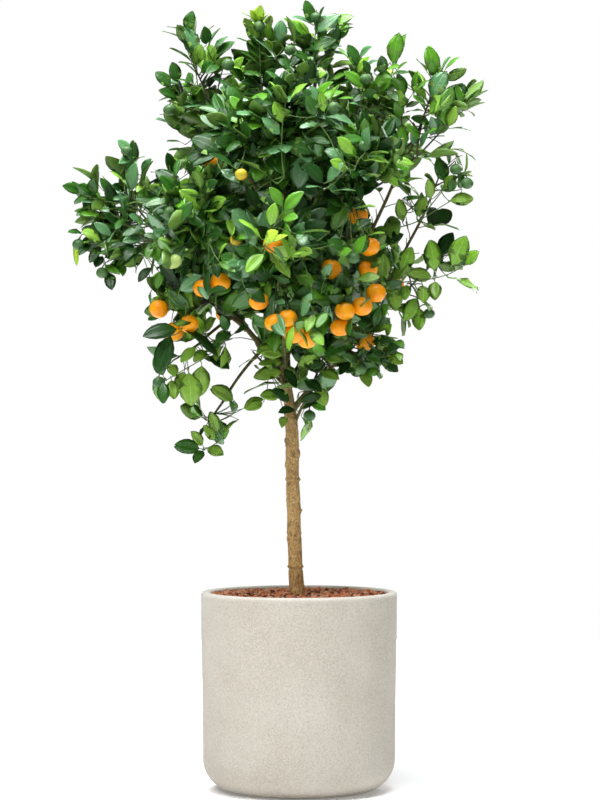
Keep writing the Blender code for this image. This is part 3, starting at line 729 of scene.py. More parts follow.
def shootPoints(stem, target):
    # start, middle and end of a shoot towards a target
    first = stem.points[0]
    chord = stem.points[-1] - first
    along = (target - first).dot(chord) / chord.length_squared
    aside = (target - first - chord * along).length / chord.length
    start, way = stem.at(min(twigShape["shootLast"],
                             max(twigShape["shootFirst"], along - twigShape["shootSlant"] * aside)))
    length = (target - start).length
    bend = start.lerp(target, 0.5) + way * length * twigShape["shootBend"] - up * length * twigShape["shootSag"]
    return start, bend, target


def reachTargets(name, count, chance, least, most):
    # spread evenly round a mass, and kept on its own side of the walls
    mass = masses[name]
    targets = []
    for way in evenWays(count, chance.uniform(0, fullTurn)):
        reach = Vector([w * max(h - twigShape["leafReach"], twigShape["leastReach"])
                        for w, h in zip(way, mass["half"])])
        reach *= chance.uniform(least, most)
        pull = 1.0
        while pull > 0.3 and not inSpace(name, mass["centre"] + reach * pull, twigShape["wideLeaf"] / 2):
            pull -= 0.1
        targets.append(mass["centre"] + reach * pull)
    return targets


walls = {name: wallsOf(name) for name in masses}


# leaves

leafShape = {
    "length": 0.061,
    "width": 0.52,
    # along the leaf and half its width, as shares of its length and width: a short stalk, then the blade
    "outline": ((0.0, 0.045), (0.09, 0.055), (0.18, 0.44), (0.33, 0.85), (0.52, 1.0), (0.70, 0.88),
                (0.86, 0.55), (0.95, 0.25), (1.0, 0.0)),
    "thickness": 0.012,
    # fold, droop, twist, wave and width of each kind
    "kinds": ((0.22, 0.10, 0.0, 0.010, 1.0), (0.12, 0.26, 0.15, 0.020, 1.10), (0.42, 0.05, -0.2, 0.006, 0.90),
              (0.16, 0.18, 0.4, 0.028, 1.0), (0.10, -0.06, -0.1, 0.014, 1.18), (0.30, 0.34, -0.3, 0.018, 0.94)),
}


def leafMesh(name, fold, droop, twist, wave, wide):
    # an upper skin of five columns and an under skin of three, closed along the rim and at the stalk
    work = bmesh.new()
    uvLayer = work.loops.layers.uv.new("OFBake")
    columns = (-1.0, -0.5, 0.0, 0.5, 1.0)
    topRows, underRows, shares = [], [], []
    for share, half in leafShape["outline"]:
        half *= leafShape["width"] / 2 * wide
        lean = twist * share
        row = []
        for column in columns:
            y = column * half
            crown = 0.10 * half * (1 - column * column)
            z = abs(y) * fold + crown + wave * math.sin(share * 11 + column * 2.1) * column * column
            turned = (y * math.cos(lean) - z * math.sin(lean), y * math.sin(lean) + z * math.cos(lean))
            z = turned[1] - droop * share * share
            row.append(work.verts.new((share - 0.25 * abs(droop) * share ** 3, turned[0], z)))
        topRows.append(row)
        low = work.verts.new(row[2].co - Vector((0, 0, leafShape["thickness"] * (1.4 if share < 0.2 else 1.0))))
        underRows.append([row[0], low, row[4]])
        shares.append(share)

    def face(corners, side):
        made = work.faces.new([vertex for vertex, _, _ in corners])
        for loop, (_, column, share) in zip(made.loops, corners):
            loop[uvLayer].uv = (side + 0.23 * column, 0.03 + 0.94 * share)

    for i in range(len(shares) - 1):
        for j in range(4):
            face([(topRows[i][j], columns[j], shares[i]), (topRows[i + 1][j], columns[j], shares[i + 1]),
                  (topRows[i + 1][j + 1], columns[j + 1], shares[i + 1]),
                  (topRows[i][j + 1], columns[j + 1], shares[i])][::-1], 0.25)
        for j, (a, b) in enumerate(((-1.0, 0.0), (0.0, 1.0))):
            face([(underRows[i][j], a, shares[i]), (underRows[i + 1][j], a, shares[i + 1]),
                  (underRows[i + 1][j + 1], b, shares[i + 1]), (underRows[i][j + 1], b, shares[i])], 0.75)
    face([(vertex, 0, 0) for vertex in topRows[0]] + [(underRows[0][1], 0, 0)], 0.75)
    bmesh.ops.remove_doubles(work, verts=topRows[-1] + [underRows[-1][1]], dist=0.02)
    bmesh.ops.recalc_face_normals(work, faces=work.faces)
    return meshFrom(work, name)


# fruit: where it hangs, its radius and how ripe it is

fruitShape = {
    "ripeRadius": 0.0187,
    "greenRadius": 0.0118,
    "paleRadius": 0.0152,
    "columns": 20,
    "rows": 14,
    # flatness and ribs of each kind
    "kinds": ((0.90, 0.015), (0.95, 0.008), (0.87, 0.02)),
}

# mass, and place in millimetres
fruitPlaces = {
    "ripe": (("low_left", -272, -115, 932), ("low_left", -213.5, -130, 903), ("low_left", -243, -100, 888),
        ("left_front", -186, -200, 972), ("left_front", -152, -190, 985), ("front", -48.7, -290, 906),
        ("front", -22, -295, 914), ("front", -10, -270, 884), ("front", 15.4, -250, 874), ("front", -78, -270, 947),
        ("front_low_right", 89, -245, 928), ("front_low_right", 122, -225, 937), ("front_low_right", 149, -200, 963),
        ("front_low_right", 80, -215, 896), ("front_right", 137.5, -215, 1052), ("front_low_right", 134, -190, 1009),
        ("front_right", 114, -190, 1114), ("front_low_right", 62, -220, 1009), ("front", -50, -285, 1058),
        ("left_front", -166, -170, 1216), ("low_right", 128, -60, 868), ("back_low_left", -150, 225, 930),
        ("back_low_left", -120, 300, 985), ("back_low_right", 120, 220, 930), ("back_low_right", 85, 285, 950),
        ("back", -20, 400, 1090), ("back_low_right", 190, 150, 985)),
    "green": (("crest", -76.8, -75, 1480), ("top", -17.6, -120, 1434), ("top", 33.2, -70, 1497),
        ("upper_left", -137.9, -110, 1406), ("left", -334, -65, 1238), ("upper_left", -252, -85, 1318),
        ("upper_right", 128.7, -105, 1378), ("top", 45.4, -150, 1386), ("front_upper", 67.2, -250, 1322),
        ("front_right", 127, -265, 1249), ("right", 304, -35, 1203), ("right", 326, -35, 1176),
        ("right_low", 322, 10, 1027), ("right_low", 252, 0, 923), ("low_right", 165, -70, 905),
        ("front_low_right", 105, -278, 1031), ("left", -428, -50, 1057), ("left", -382, -60, 1002),
        ("left_front", -252, -225, 1120), ("skirt_right", 20, -75, 725), ("hanging_left", -272, -95, 790),
        ("back_upper_right", 110, 290, 1300), ("back_upper_left", -150, 310, 1250), ("back", 50, 380, 1170),
        ("low_right", 60, -100, 930), ("low_right", 120, -100, 815)),
    "pale": (("left_front", -245.5, -240, 1024),),
    "turning": (("front_upper", -112.4, -300, 1193), ("left_front", -122, -255, 1066)),
}


def fruitMesh(name, flatness, ribs):
    # a ball a little flatter at its ends, with a shallow dimple where the stalk is
    work = bmesh.new()
    bmesh.ops.create_uvsphere(work, u_segments=fruitShape["columns"], v_segments=fruitShape["rows"], radius=1)
    for vertex in work.verts:
        x, y, z = vertex.co
        turn = math.atan2(y, x)
        around = math.sqrt(x * x + y * y)
        swell = 1 + ribs * math.cos(5 * turn) * abs(z) * around + 0.012 * noise.noise(vertex.co * 2.3)
        dimple = 0.10 * math.exp(-(around / 0.22) ** 2) if z > 0 else 0.05 * math.exp(-(around / 0.25) ** 2)
        vertex.co = (x * swell, y * swell, (z - math.copysign(dimple, z)) * flatness)
    return meshFrom(work, name)


def calyxMesh():
    # a small five-lobed star that sits in the dimple
    work = bmesh.new()
    sides = 10
    rim = []
    for i in range(sides):
        turn, out = fullTurn * i / sides, 0.11 if i % 2 else 0.20
        rim.append((out * math.cos(turn), out * math.sin(turn)))
    top = [work.verts.new((x, y, 0.93 + (0.015 if i % 2 else -0.005))) for i, (x, y) in enumerate(rim)]
    low = [work.verts.new((x * 0.95, y * 0.95, 0.885)) for x, y in rim]
    hub, foot = work.verts.new((0, 0, 0.97)), work.verts.new((0, 0, 0.86))
    for i in range(sides):
        j = (i + 1) % sides
        for corners in ((top[i], top[j], hub), (low[j], low[i], foot), (low[i], low[j], top[j], top[i])):
            work.faces.new(corners)
    bmesh.ops.recalc_face_normals(work, faces=work.faces)
    return meshFrom(work, "calyx", False)


# how the foliage grows

foliage = {
    "leafStep": 0.0130,
    "twigStep": 0.0122,
    "sideTwigs": (0.28, 0.45, 0.60, 0.74, 0.88),
    "sideLength": (0.030, 0.064),
    "crownCentre": Vector((-0.03, 0.0, 1.08)),
    "crownHalf": (0.36, 0.34, 0.40),
    "closest": 0.0080,
    "moreShoots": 1.35,
    # short leafy spurs on the boughs
    "spurStep": 0.017,
    "spurLength": (0.022, 0.050),
}

# each tint's share of the sprays on the outside and inside of the crown; painted shade: the dark tints stand thickest
# inside the crown, where shade falls
tints = {
    "dark": dict(tone=(0.010, 0.050, 0.004), outside=0.31, inside=0.56, light=0.2, shine=0.30),
    "deep": dict(tone=(0.024, 0.106, 0.007), outside=0.28, inside=0.30, light=0.7, shine=0.45),
    "mid": dict(tone=(0.080, 0.250, 0.011), outside=0.21, inside=0.10, light=1.5, shine=0.55),
    "olive": dict(tone=(0.178, 0.332, 0.036), outside=0.03, inside=0.02, light=5.0, shine=0.40),
    # blue: a bluer green, partly the leaf's own tone and partly a painted sheen of the pale sky on glossy leaves
    "blue": dict(tone=(0.082, 0.228, 0.076), outside=0.11, inside=0.04, light=1.0, shine=0.9),
    "bright": dict(tone=(0.182, 0.390, 0.030), outside=0.08, inside=0.01, light=2.4, shine=0.50),
    "young": dict(tone=(0.34, 0.54, 0.035), outside=0.004, inside=0.0, light=1.0, shine=0.40),
}
# a spray's own tint, and what some of its leaves have instead
nearTints = {
    "dark": ("deep", "blue"), "deep": ("dark", "mid"), "mid": ("deep", "bright"), "blue": ("deep", "mid"),
    "olive": ("mid", "bright"), "bright": ("mid", "mid", "young"), "young": ("bright",),
}
youngPlaces = ((-0.080, 0.01, 1.470), (-0.095, 0.01, 1.470), (-0.062, -0.02, 1.462))

# sprays that are seen leaf by leaf: mass, depth, twigs as points, and leaves by tint, each its root and tip.
# Millimetres across and up in the plane of the trunk; tilted leaves are seen from their edge.
keySprays = (
    ("hanging_low", -35, ((-143, 689, -160, 671, -186, 658),), {
        "deep": (-190, 661, -242, 671, -186, 658, -202, 640, -123, 732, -130, 753),
        "olive": (-186, 666, -207, 696, -158, 691, -171, 734, -162, 678, -182, 706, -179, 663, -148, 656, -125, 754,
            -169, 784, -110, 738, -69, 760),
        "olive tilted": (-118, 717, -151, 701),
    }),
    ("hanging_left", -105, ((-132, 878, -181, 837, -224, 814, -257, 794),), {
        "olive": (-215, 813, -204, 744, -189, 826, -192, 763, -222, 813, -237, 773, -248, 796, -240, 761, -179, 852,
            -203, 833),
        "deep": (-263, 792, -263, 748, -263, 801, -277, 842, -138, 889, -149, 918, -133, 889, -159, 873),
        "bright": (-199, 859, -231, 829, -250, 826, -238, 807, -186, 887, -196, 916),
        "deep tilted": (-128, 883, -104, 904),
        "olive tilted": (-182, 885, -170, 918, -143, 863, -140, 813, -147, 863, -168, 837),
    }),
    ("low_left", -140, ((-218, 939, -222, 904, -231, 883, -272, 876),), {
        "dark": (-232, 894, -304, 882, -247, 885, -275, 806),
        "dark tilted": (-230, 898, -144, 838),
    }),
    ("skirt_left", -50, (), {
        "olive": (-31, 842, -82, 857, -31, 829, -80, 829, -31, 811, -90, 806, -35, 764, -76, 766, -69, 751, -104, 737,
            -28, 725, -34, 702, -52, 865, -82, 847),
        "olive tilted": (-35, 790, -112, 781, -84, 835, -120, 826),
        "dark": (-31, 818, -4, 777, -17, 752, -49, 780, -7, 738, -41, 732),
    }),
    ("skirt_right", -85, (), {
        "dark": (8, 796, 46, 773, 0, 752, 44, 765, 4, 738, 36, 750, 17, 865, -15, 847, 13, 818, 43, 829),
        "olive tilted": (4, 725, 18, 694),
        "olive": (-3, 822, 30, 844, 34, 783, 53, 745),
    }),
    ("front", -315, (), {
        "blue": (25, 967, 2, 918),
        "bright": (30, 923, 13, 887, 19, 891, 50, 865),
        "bright tilted": (-11, 901, -24, 850),
        "dark tilted": (-8, 899, 19, 859),
        "mid": (56, 926, 32, 896),
    }),
    ("far_right", -35, ((91, 1145, 141, 1161, 225, 1223, 262, 1262, 300, 1302, 320, 1318), (228, 1230, 232, 1265, 240,
        1300, 252, 1335, 262, 1378), (186, 1205, 188, 1250, 200, 1310, 204, 1325)), {
        "mid": (262, 1385, 255, 1442, 262, 1382, 258, 1406, 318, 1320, 307, 1368, 288, 1282, 276, 1335, 275, 1300,
            262, 1332, 248, 1325, 220, 1342, 235, 1262, 208, 1285, 205, 1245, 198, 1286, 198, 1300, 186, 1330, 205,
            1350, 180, 1378),
        "deep": (255, 1292, 218, 1303, 210, 1245, 172, 1273, 205, 1345, 190, 1388),
        "blue": (253, 1340, 282, 1395, 263, 1270, 256, 1302, 235, 1245, 250, 1274, 228, 1250, 218, 1275, 190, 1282,
            186, 1302),
        "bright": (250, 1308, 290, 1360, 248, 1340, 222, 1360),
        "olive": (290, 1284, 302, 1326, 203, 1322, 192, 1352),
        "mid tilted": (280, 1392, 309, 1423, 284, 1375, 310, 1389, 320, 1325, 366, 1358, 322, 1316, 360, 1333, 245,
            1268, 262, 1285, 226, 1226, 257, 1220, 222, 1345, 226, 1395, 215, 1342, 243, 1385, 186, 1400, 190, 1468,
            182, 1385, 207, 1412),
        "deep tilted": (248, 1392, 226, 1415, 205, 1312, 240, 1325, 240, 1285, 210, 1288, 224, 1232, 195, 1230),
        "blue tilted": (275, 1390, 292, 1420, 318, 1325, 350, 1360, 288, 1282, 336, 1281),
        "bright tilted": (240, 1232, 258, 1234),
    }),
    ("right", -10, ((151, 1077, 197, 1091, 230, 1100, 285, 1137, 313, 1150), (230, 1102, 281, 1164, 299, 1192)), {
        "olive": (200, 1100, 194, 1146, 228, 1108, 243, 1151, 255, 1144, 251, 1181, 281, 1164, 297, 1189, 290, 1142,
            338, 1148, 156, 1067, 133, 1091, 142, 1067, 165, 1091),
        "deep": (283, 1177, 271, 1224, 295, 1160, 294, 1183, 315, 1164, 312, 1190),
        "olive tilted": (231, 1101, 267, 1090, 306, 1188, 333, 1198),
        "dark tilted": (221, 1121, 206, 1148),
        "dark": (165, 1058, 200, 1081),
    }),
    ("right_low", 0, ((96, 984, 156, 980, 202, 984, 248, 988, 290, 998, 320, 1016), (221, 984, 239, 952, 252, 929)), {
        "bright": (262, 1003, 259, 1066, 295, 1013, 321, 1075, 209, 980, 202, 954, 230, 956, 203, 908, 234, 936, 228,
            890, 197, 1001, 215, 1053, 322, 1018, 339, 1044),
        "bright tilted": (288, 994, 353, 978),
        "olive": (260, 994, 208, 1001, 179, 980, 192, 928, 239, 980, 244, 947, 263, 987, 262, 952, 161, 980, 163,
            1040, 179, 983, 209, 1026),
        "olive tilted": (240, 951, 259, 933, 107, 980, 136, 971),
        "deep": (147, 980, 114, 966),
    }),
    ("upper_left", -20, ((-173, 1240, -192, 1318, -199, 1390, -212, 1444, -217, 1468), (-199, 1327, -226, 1337, -245,
        1369)), {
        "deep": (-219, 1467, -209, 1511, -180, 1443, -181, 1476, -163, 1425, -123, 1450, -192, 1389, -165, 1408, -236,
            1370, -243, 1407, -247, 1362, -276, 1393, -236, 1341, -271, 1356, -153, 1404, -180, 1386),
        "deep tilted": (-221, 1467, -253, 1484, -203, 1407, -250, 1442, -221, 1251, -253, 1266),
        "blue tilted": (-225, 1454, -266, 1474, -178, 1438, -153, 1478, -173, 1426, -143, 1466, -245, 1288, -277,
            1299, -124, 1351, -167, 1380),
        "blue": (-195, 1428, -219, 1479),
        "bright": (-190, 1412, -189, 1439, -129, 1389, -109, 1418, -132, 1380, -99, 1399),
        "mid tilted": (-199, 1399, -229, 1418, -199, 1363, -236, 1388, -245, 1307, -269, 1313, -212, 1239, -255,
            1240),
        "dark tilted": (-226, 1327, -229, 1375),
    }),
    ("left", -45, ((-300, 1120, -340, 1138, -385, 1140, -410, 1150, -430, 1158), (-300, 1070, -340, 1085, -380, 1080,
        -410, 1090), (-300, 1040, -350, 1040, -380, 1030), (-304, 1120, -325, 1155, -322, 1197, -320, 1226)), {
        "deep": (-425, 1158, -457, 1170, -402, 1155, -426, 1172, -400, 1150, -400, 1181, -410, 1150, -433, 1138, -362,
            1150, -385, 1187, -395, 1120, -431, 1115, -421, 1080, -443, 1083),
        "dark": (-360, 1138, -370, 1170, -338, 1162, -355, 1172, -245, 1195, -250, 1232, -345, 1092, -378, 1118, -380,
            1062, -415, 1090, -405, 1060, -425, 1035, -385, 1055, -405, 1022, -382, 1035, -392, 1018, -370, 1005,
            -360, 970, -286, 1014, -312, 983),
        "blue": (-330, 1152, -357, 1146, -325, 1158, -316, 1217, -322, 1225, -350, 1262, -325, 1222, -348, 1213, -305,
            1192, -285, 1222, -362, 1072, -398, 1100, -300, 1090, -345, 1077, -300, 1095, -325, 1115, -320, 1040,
            -365, 1056, -305, 1068, -342, 1062),
        "mid": (-385, 1115, -420, 1118, -303, 1180, -305, 1135, -285, 1062, -295, 1033, -282, 1065, -270, 1022, -378,
            1018, -345, 1000, -345, 1020, -340, 994, -265, 1008, -277, 970),
        "olive": (-295, 1182, -315, 1158, -255, 1155, -287, 1172),
        "bright": (-232, 1150, -220, 1182),
        "bright tilted": (-330, 1165, -357, 1208, -215, 1195, -240, 1227, -380, 1062, -425, 1070, -297, 1095, -278,
            1117, -255, 980, -245, 955),
        "dark tilted": (-255, 1190, -285, 1203),
        "deep tilted": (-322, 1228, -320, 1257),
        "blue tilted": (-385, 1132, -420, 1150, -318, 1220, -298, 1228, -285, 972, -292, 942),
    }),
    ("crest", -60, ((-71, 1323, -76, 1410, -78, 1468),), {
        "young tilted": (-78, 1485, -110, 1508, -81, 1474, -108, 1486, -73, 1487, -59, 1503),
        "young": (-81, 1486, -77, 1515, -76, 1485, -93, 1507),
        "bright": (-59, 1453, -60, 1481, -81, 1432, -93, 1451),
        "blue": (-44, 1451, -35, 1491),
        "deep": (-76, 1417, -100, 1453),
        "dark": (-69, 1371, -90, 1386),
        "deep tilted": (-61, 1451, -95, 1466),
    }),
    ("front_upper", -290, ((-28, 1173, -35, 1234, -33, 1290, -26, 1333), (105, 1195, 88, 1212, 66, 1247)), {
        "blue": (-35, 1269, -70, 1305, 37, 1292, 2, 1285, -153, 1203, -114, 1175, 53, 1177, 84, 1217),
        "bright": (-33, 1292, -43, 1334, 49, 1313, 43, 1350),
        "bright tilted": (-28, 1334, -55, 1376, -20, 1336, 11, 1376, 58, 1328, 76, 1367),
        "deep": (32, 1305, 19, 1342),
        "dark": (47, 1175, 14, 1216, -84, 1160, -36, 1141),
        "dark tilted": (-43, 1175, -115, 1238, -121, 1203, -175, 1234),
        "blue tilted": (49, 1164, 14, 1178, 62, 1160, 112, 1165),
    }),
    ("upper_right", -90, (), {
        "mid tilted": (66, 1336, 106, 1350),
        "dark": (137, 1349, 104, 1335),
        "blue tilted": (137, 1319, 97, 1331),
    }),
    ("front_right", -270, ((105, 1195, 114, 1221, 127, 1234),), {
        "blue": (128, 1250, 134, 1281, 89, 1218, 53, 1245),
        "bright": (105, 1231, 75, 1266, 95, 1201, 61, 1219),
        "mid tilted": (135, 1233, 175, 1234),
        "bright tilted": (127, 1220, 177, 1227, 129, 1073, 166, 1082, 109, 1127, 149, 1130),
        "dark": (101, 1082, 138, 1110),
        "mid": (109, 1035, 129, 1075, 75, 1035, 98, 1049),
    }),
    ("front", -330, ((-67, 1048, -63, 1074, -50, 1091),), {
        "mid": (-31, 1129, -56, 1169, -31, 1121, 10, 1160, -33, 1106, -3, 1109),
        "bright": (-56, 1091, -47, 1138, -67, 1040, -105, 1002),
        "bright tilted": (-72, 1067, -109, 1117, -22, 1030, 13, 1054, -20, 1030, -34, 1075),
        "young": (-69, 1058, -45, 1085),
        "blue": (-84, 1052, -103, 1094, -7, 1078, 22, 1056),
        "young tilted": (-67, 1054, -23, 1084),
        "blue tilted": (-28, 1017, -41, 1056),
        "dark tilted": (66, 1057, 5, 1058, 58, 1082, 1, 1081),
    }),
    ("top", -65, ((21, 1327, 22, 1386, 29, 1434, 32, 1473, 31, 1485), (60, 1371, 48, 1386)), {
        "deep": (26, 1483, 13, 1531, 21, 1432, 70, 1459, 21, 1412, -8, 1432, -3, 1386, -37, 1422, 41, 1371, 11, 1376),
        "blue tilted": (30, 1481, -14, 1499, 33, 1432, 80, 1453),
        "blue": (34, 1467, 73, 1507, 30, 1425, -3, 1392),
        "mid": (66, 1483, 101, 1504),
        "deep tilted": (59, 1475, 106, 1485),
        "dark tilted": (39, 1486, 47, 1515),
        "mid tilted": (31, 1398, 66, 1420, 55, 1371, 89, 1393),
        "bright tilted": (36, 1386, 25, 1422),
        "dark": (11, 1434, -18, 1403),
    }),
    ("crest", -70, ((-73, 1318, -75, 1386, -77, 1444, -78, 1473), (-75, 1410, -42, 1420, -30, 1439)), {
        "blue": (-38, 1448, -35, 1490, -119, 1347, -149, 1360),
        "blue tilted": (-43, 1412, -86, 1464),
        "mid": (-73, 1415, -101, 1449, -104, 1371, -127, 1400),
        "deep tilted": (-75, 1404, -112, 1431, -81, 1434, -115, 1467, -115, 1361, -144, 1377),
        "deep": (-71, 1386, -104, 1390, -76, 1347, -104, 1351, -104, 1332, -129, 1337),
        "dark": (-71, 1371, -46, 1395, -77, 1364, -110, 1371, -69, 1351, -38, 1366),
        "bright": (-51, 1432, -66, 1449),
        "bright tilted": (-95, 1386, -127, 1410),
    }),
    ("upper_right", -75, ((118, 1303, 116, 1347, 114, 1390), (115, 1371, 152, 1371, 176, 1410)), {
        "deep": (112, 1404, 100, 1446, 118, 1337, 142, 1356, 169, 1356, 192, 1337, 162, 1386, 159, 1417, 137, 1386,
            125, 1410),
        "mid tilted": (108, 1404, 84, 1444, 163, 1395, 194, 1406),
        "blue": (116, 1419, 140, 1438, 123, 1327, 104, 1342),
        "blue tilted": (119, 1395, 146, 1421, 145, 1390, 167, 1404),
        "bright": (114, 1390, 136, 1419),
        "mid": (142, 1369, 172, 1383, 126, 1361, 87, 1393, 157, 1353, 176, 1377, 181, 1403, 189, 1468),
        "dark": (108, 1364, 104, 1327),
    }),
    ("left_front", -285, (), {
        "mid": (-156, 1024, -122, 1002),
        "bright tilted": (-156, 1028, -140, 1059),
    }),
    ("low_right", -75, ((100, 912, 125, 895, 135, 870, 150, 845, 188, 816), (130, 868, 122, 840, 120, 815)), {
        "dark": (110, 915, 138, 905, 140, 868, 178, 875, 160, 850, 188, 862, 155, 838, 195, 813, 98, 832, 78, 806,
            162, 838, 142, 852),
        "deep": (145, 895, 155, 937, 112, 878, 45, 848),
        "mid": (160, 918, 170, 940, 180, 868, 201, 866, 155, 822, 133, 808),
        "bright": (168, 880, 176, 902, 150, 888, 172, 898, 190, 850, 197, 838),
        "olive": (172, 842, 200, 830, 122, 815, 136, 781, 50, 838, 80, 833, 40, 812, 79, 797),
        "blue": (115, 828, 85, 845, 112, 815, 92, 812),
        "mid tilted": (150, 815, 160, 799),
    }),
    ("left_front", -236, (), {
        "dark tilted": (-175, 1010, -181, 961),
        "dark": (-177, 964, -139, 970, -163, 1033, -154, 993),
        "deep": (-236, 1100, -206, 1140),
    }),
    ("front", -308, (), {
        "dark": (-106, 973, -61, 951),
    }),
    ("front_low_right", -242, (), {
        "blue": (44, 988, 58, 1017),
        "olive": (113, 990, 157, 995),
        "deep tilted": (100, 915, 94, 880),
        "dark": (112, 874, 60, 864),
    }),
    ("front_right", -246, (), {
        "deep": (124, 1083, 124, 1038),
    }),
)
# gaps that the camera sees between the sprays: middle and half size, in the same millimetres
openPlaces = (
    (175, 1138, 44, 36), (219, 1060, 24, 34), (267, 1078, 32, 17), (340, 1275, 36, 28), (352, 1180, 20, 22),
    (338, 997, 30, 14), (282, 967, 18, 24), (-250, 1262, 32, 25), (-246, 1434, 22, 26), (-108, 1463, 16, 26),
    (89, 1453, 18, 17), (165, 1430, 20, 34), (207, 1368, 13, 17), (-402, 1002, 26, 24), (-386, 968, 18, 18),
    (-165, 901, 20, 32), (-105, 852, 32, 42), (-110, 784, 24, 38), (76, 772, 28, 26), (169, 957, 14, 16),
    (180, 891, 16, 18), (262, 926, 14, 26), (-218, 846, 26, 18),
)


def inGroups(values, size):
    return [values[i:i + size] for i in range(0, len(values), size)]


def seenAt(across, height, depth):
    # the point at a depth that the camera sees there
    cameraX, cameraY, cameraZ = studio["cameraPlace"]
    nearer = (depth - cameraY) / -cameraY
    return Vector((cameraX + (across / 1000 - cameraX) * nearer, depth,
                   cameraZ + (height / 1000 - cameraZ) * nearer))


def seenOpen(place):
    cameraX, cameraY, cameraZ = studio["cameraPlace"]
    nearer = (place.y - cameraY) / -cameraY
    across = (cameraX + (place.x - cameraX) / nearer) * 1000
    height = (cameraZ + (place.z - cameraZ) / nearer) * 1000
    return any(((across - x) / wide) ** 2 + ((height - z) / tall) ** 2 < 1 for x, z, wide, tall in openPlaces)


def fruitPlace(x, y, z):
    # read in the plane of the trunk: moved to where the camera sees it at its own depth
    return seenAt(x, z, y / 1000) if y < 0 else Vector(metres((x, y, z)))


def fruitRadius(kind):
    return fruitShape.get(kind + "Radius", fruitShape["greenRadius"])


keyShape = {
    "longest": 0.082, "shortest": 0.046, "lean": 0.034, "spread": 0.010,
    "clearRadius": 0.021, "clearShare": 0.80, "tipClear": 0.038,
    # where the leaves of a free spray stand, behind the ones that are seen
    "layers": (0.0, 0.032, 0.060),
}
keyMiddles = [seenAt((x + tipX) / 2, (z + tipZ) / 2, depth / 1000) for _, depth, _, leaves in keySprays
              for values in leaves.values() for x, z, tipX, tipZ in inGroups(values, 4)]
fruitHung = [(owner, kind, fruitPlace(*place)) for kind, rows in fruitPlaces.items() for owner, *place in rows]


class Growth:
    # all leaves and twigs as they grow, with a grid that keeps leaf middles apart

    def __init__(self):
        self.leaves = {name: [] for name in tints}
        self.woody, self.green = [], []
        self.grid = {}
        self.fruit = [(place, fruitRadius(kind)) for _, kind, place in fruitHung]
        self.carriers = {name: [] for name in masses}

    def crowded(self, place):
        step = foliage["closest"]
        cell = [math.floor(c / step) for c in place]
        for shift in product((-1, 0, 1), repeat=3):
            near = self.grid.get(tuple(c + s for c, s in zip(cell, shift)), ())
            if any((other - place).length < step for other in near):
                return True
        self.grid.setdefault(tuple(cell), []).append(place)
        return False

    def hidesFruit(self, root, middle, along, length, chance):
        for centre, radius in self.fruit:
            if (middle - centre).length < radius + 0.006 or (root + along * length - centre).length < radius:
                return True
            # fruit shows: many leaves straight in front of it are left out, most where it is small
            share = max(0.2, min(1.0, (centre - root).dot(along) / length))
            ahead = root + along * length * share - centre
            hides, margin = (0.30, 0.0) if radius > fruitShape["greenRadius"] else (0.85, 0.010)
            if ahead.y < 0 and math.hypot(ahead.x, ahead.z) < radius + margin and chance.random() < hides:
                return True
        return False

    def hidesKey(self, middle, chance):
        for key in keyMiddles:
            apart = math.hypot(middle.x - key.x, middle.z - key.z)
            if (middle.y < key.y + 0.006 and apart < keyShape["clearRadius"]
                    and chance.random() < keyShape["clearShare"]):
                return True
        return False

    def addLeaf(self, root, way, turn, slant, length, tint, chance):
        aside = asideOf(way, turn)
        rise = chance.uniform(0.0, 0.42 + max(0.0, root.z - 1.22) * 2.0)
        along = (way * math.cos(slant) + aside * math.sin(slant) + up * rise).normalized()
        outward = (root - foliage["crownCentre"]).normalized()
        face = way * 0.45 + up * chance.uniform(0.15, 0.80) + outward * chance.uniform(0.15, 1.15)
        face += aside * chance.uniform(-0.75, 0.75)
        if chance.random() < 0.10:
            face = outward - up * 0.35 + aside * chance.uniform(-0.5, 0.5)
        side = face.cross(along)
        if side.length < 0.05:
            return
        side.normalize()
        middle = root + along * length * 0.55
        if (seenOpen(middle) or seenOpen(root + along * length)
                or self.hidesFruit(root, middle, along, length, chance)
                or self.hidesKey(middle, chance) or self.crowded(middle)):
            return
        self.setLeaf(root, along, side, length, chance.uniform(0.86, 1.12), tint,
                     chance.randrange(len(leafShape["kinds"])))

    def setLeaf(self, root, along, side, length, wide, tint, kind):
        turned = Matrix((along, side, along.cross(side))).transposed()
        self.leaves[tint].append((root - along * 0.0012, turned, Vector((length, length * wide, length)), kind))


def asideOf(way, turn):
    # square to a way, and turned about it
    aside = way.cross(up if abs(way.z) < 0.95 else Vector((1, 0, 0))).normalized()
    return Matrix.Rotation(turn, 3, way) @ aside


def wandering(start, bend, end, steps, chance, wander):
    points = curve(start, bend, end, steps)
    for point in points[1:-1]:
        point += Vector([chance.uniform(-wander, wander) for _ in range(3)])
    return points


def sprayTint(place, chance, light=0.0):
    # painted light and shade: outer and upper sprays take lighter tints, inner and lower ones darker tints, as light
    # falls on the crown
    if any((place - Vector(young)).length < 0.030 for young in youngPlaces):
        return "young"
    away = place - foliage["crownCentre"]
    out = min(1.0, math.sqrt(sum((a / half) ** 2 for a, half in zip(away, foliage["crownHalf"]))))
    out = max(0.0, min(1.0, (out - 0.35) / 0.5)) * (0.75 + 0.25 * min(1.0, max(0.0, away.z / 0.3 + 0.5)))
    shares = {name: (tint["inside"] + (tint["outside"] - tint["inside"]) * out)
              * (1 + (tint["light"] - 1) * light) for name, tint in tints.items()}
    return chance.choices(list(shares), list(shares.values()))[0]


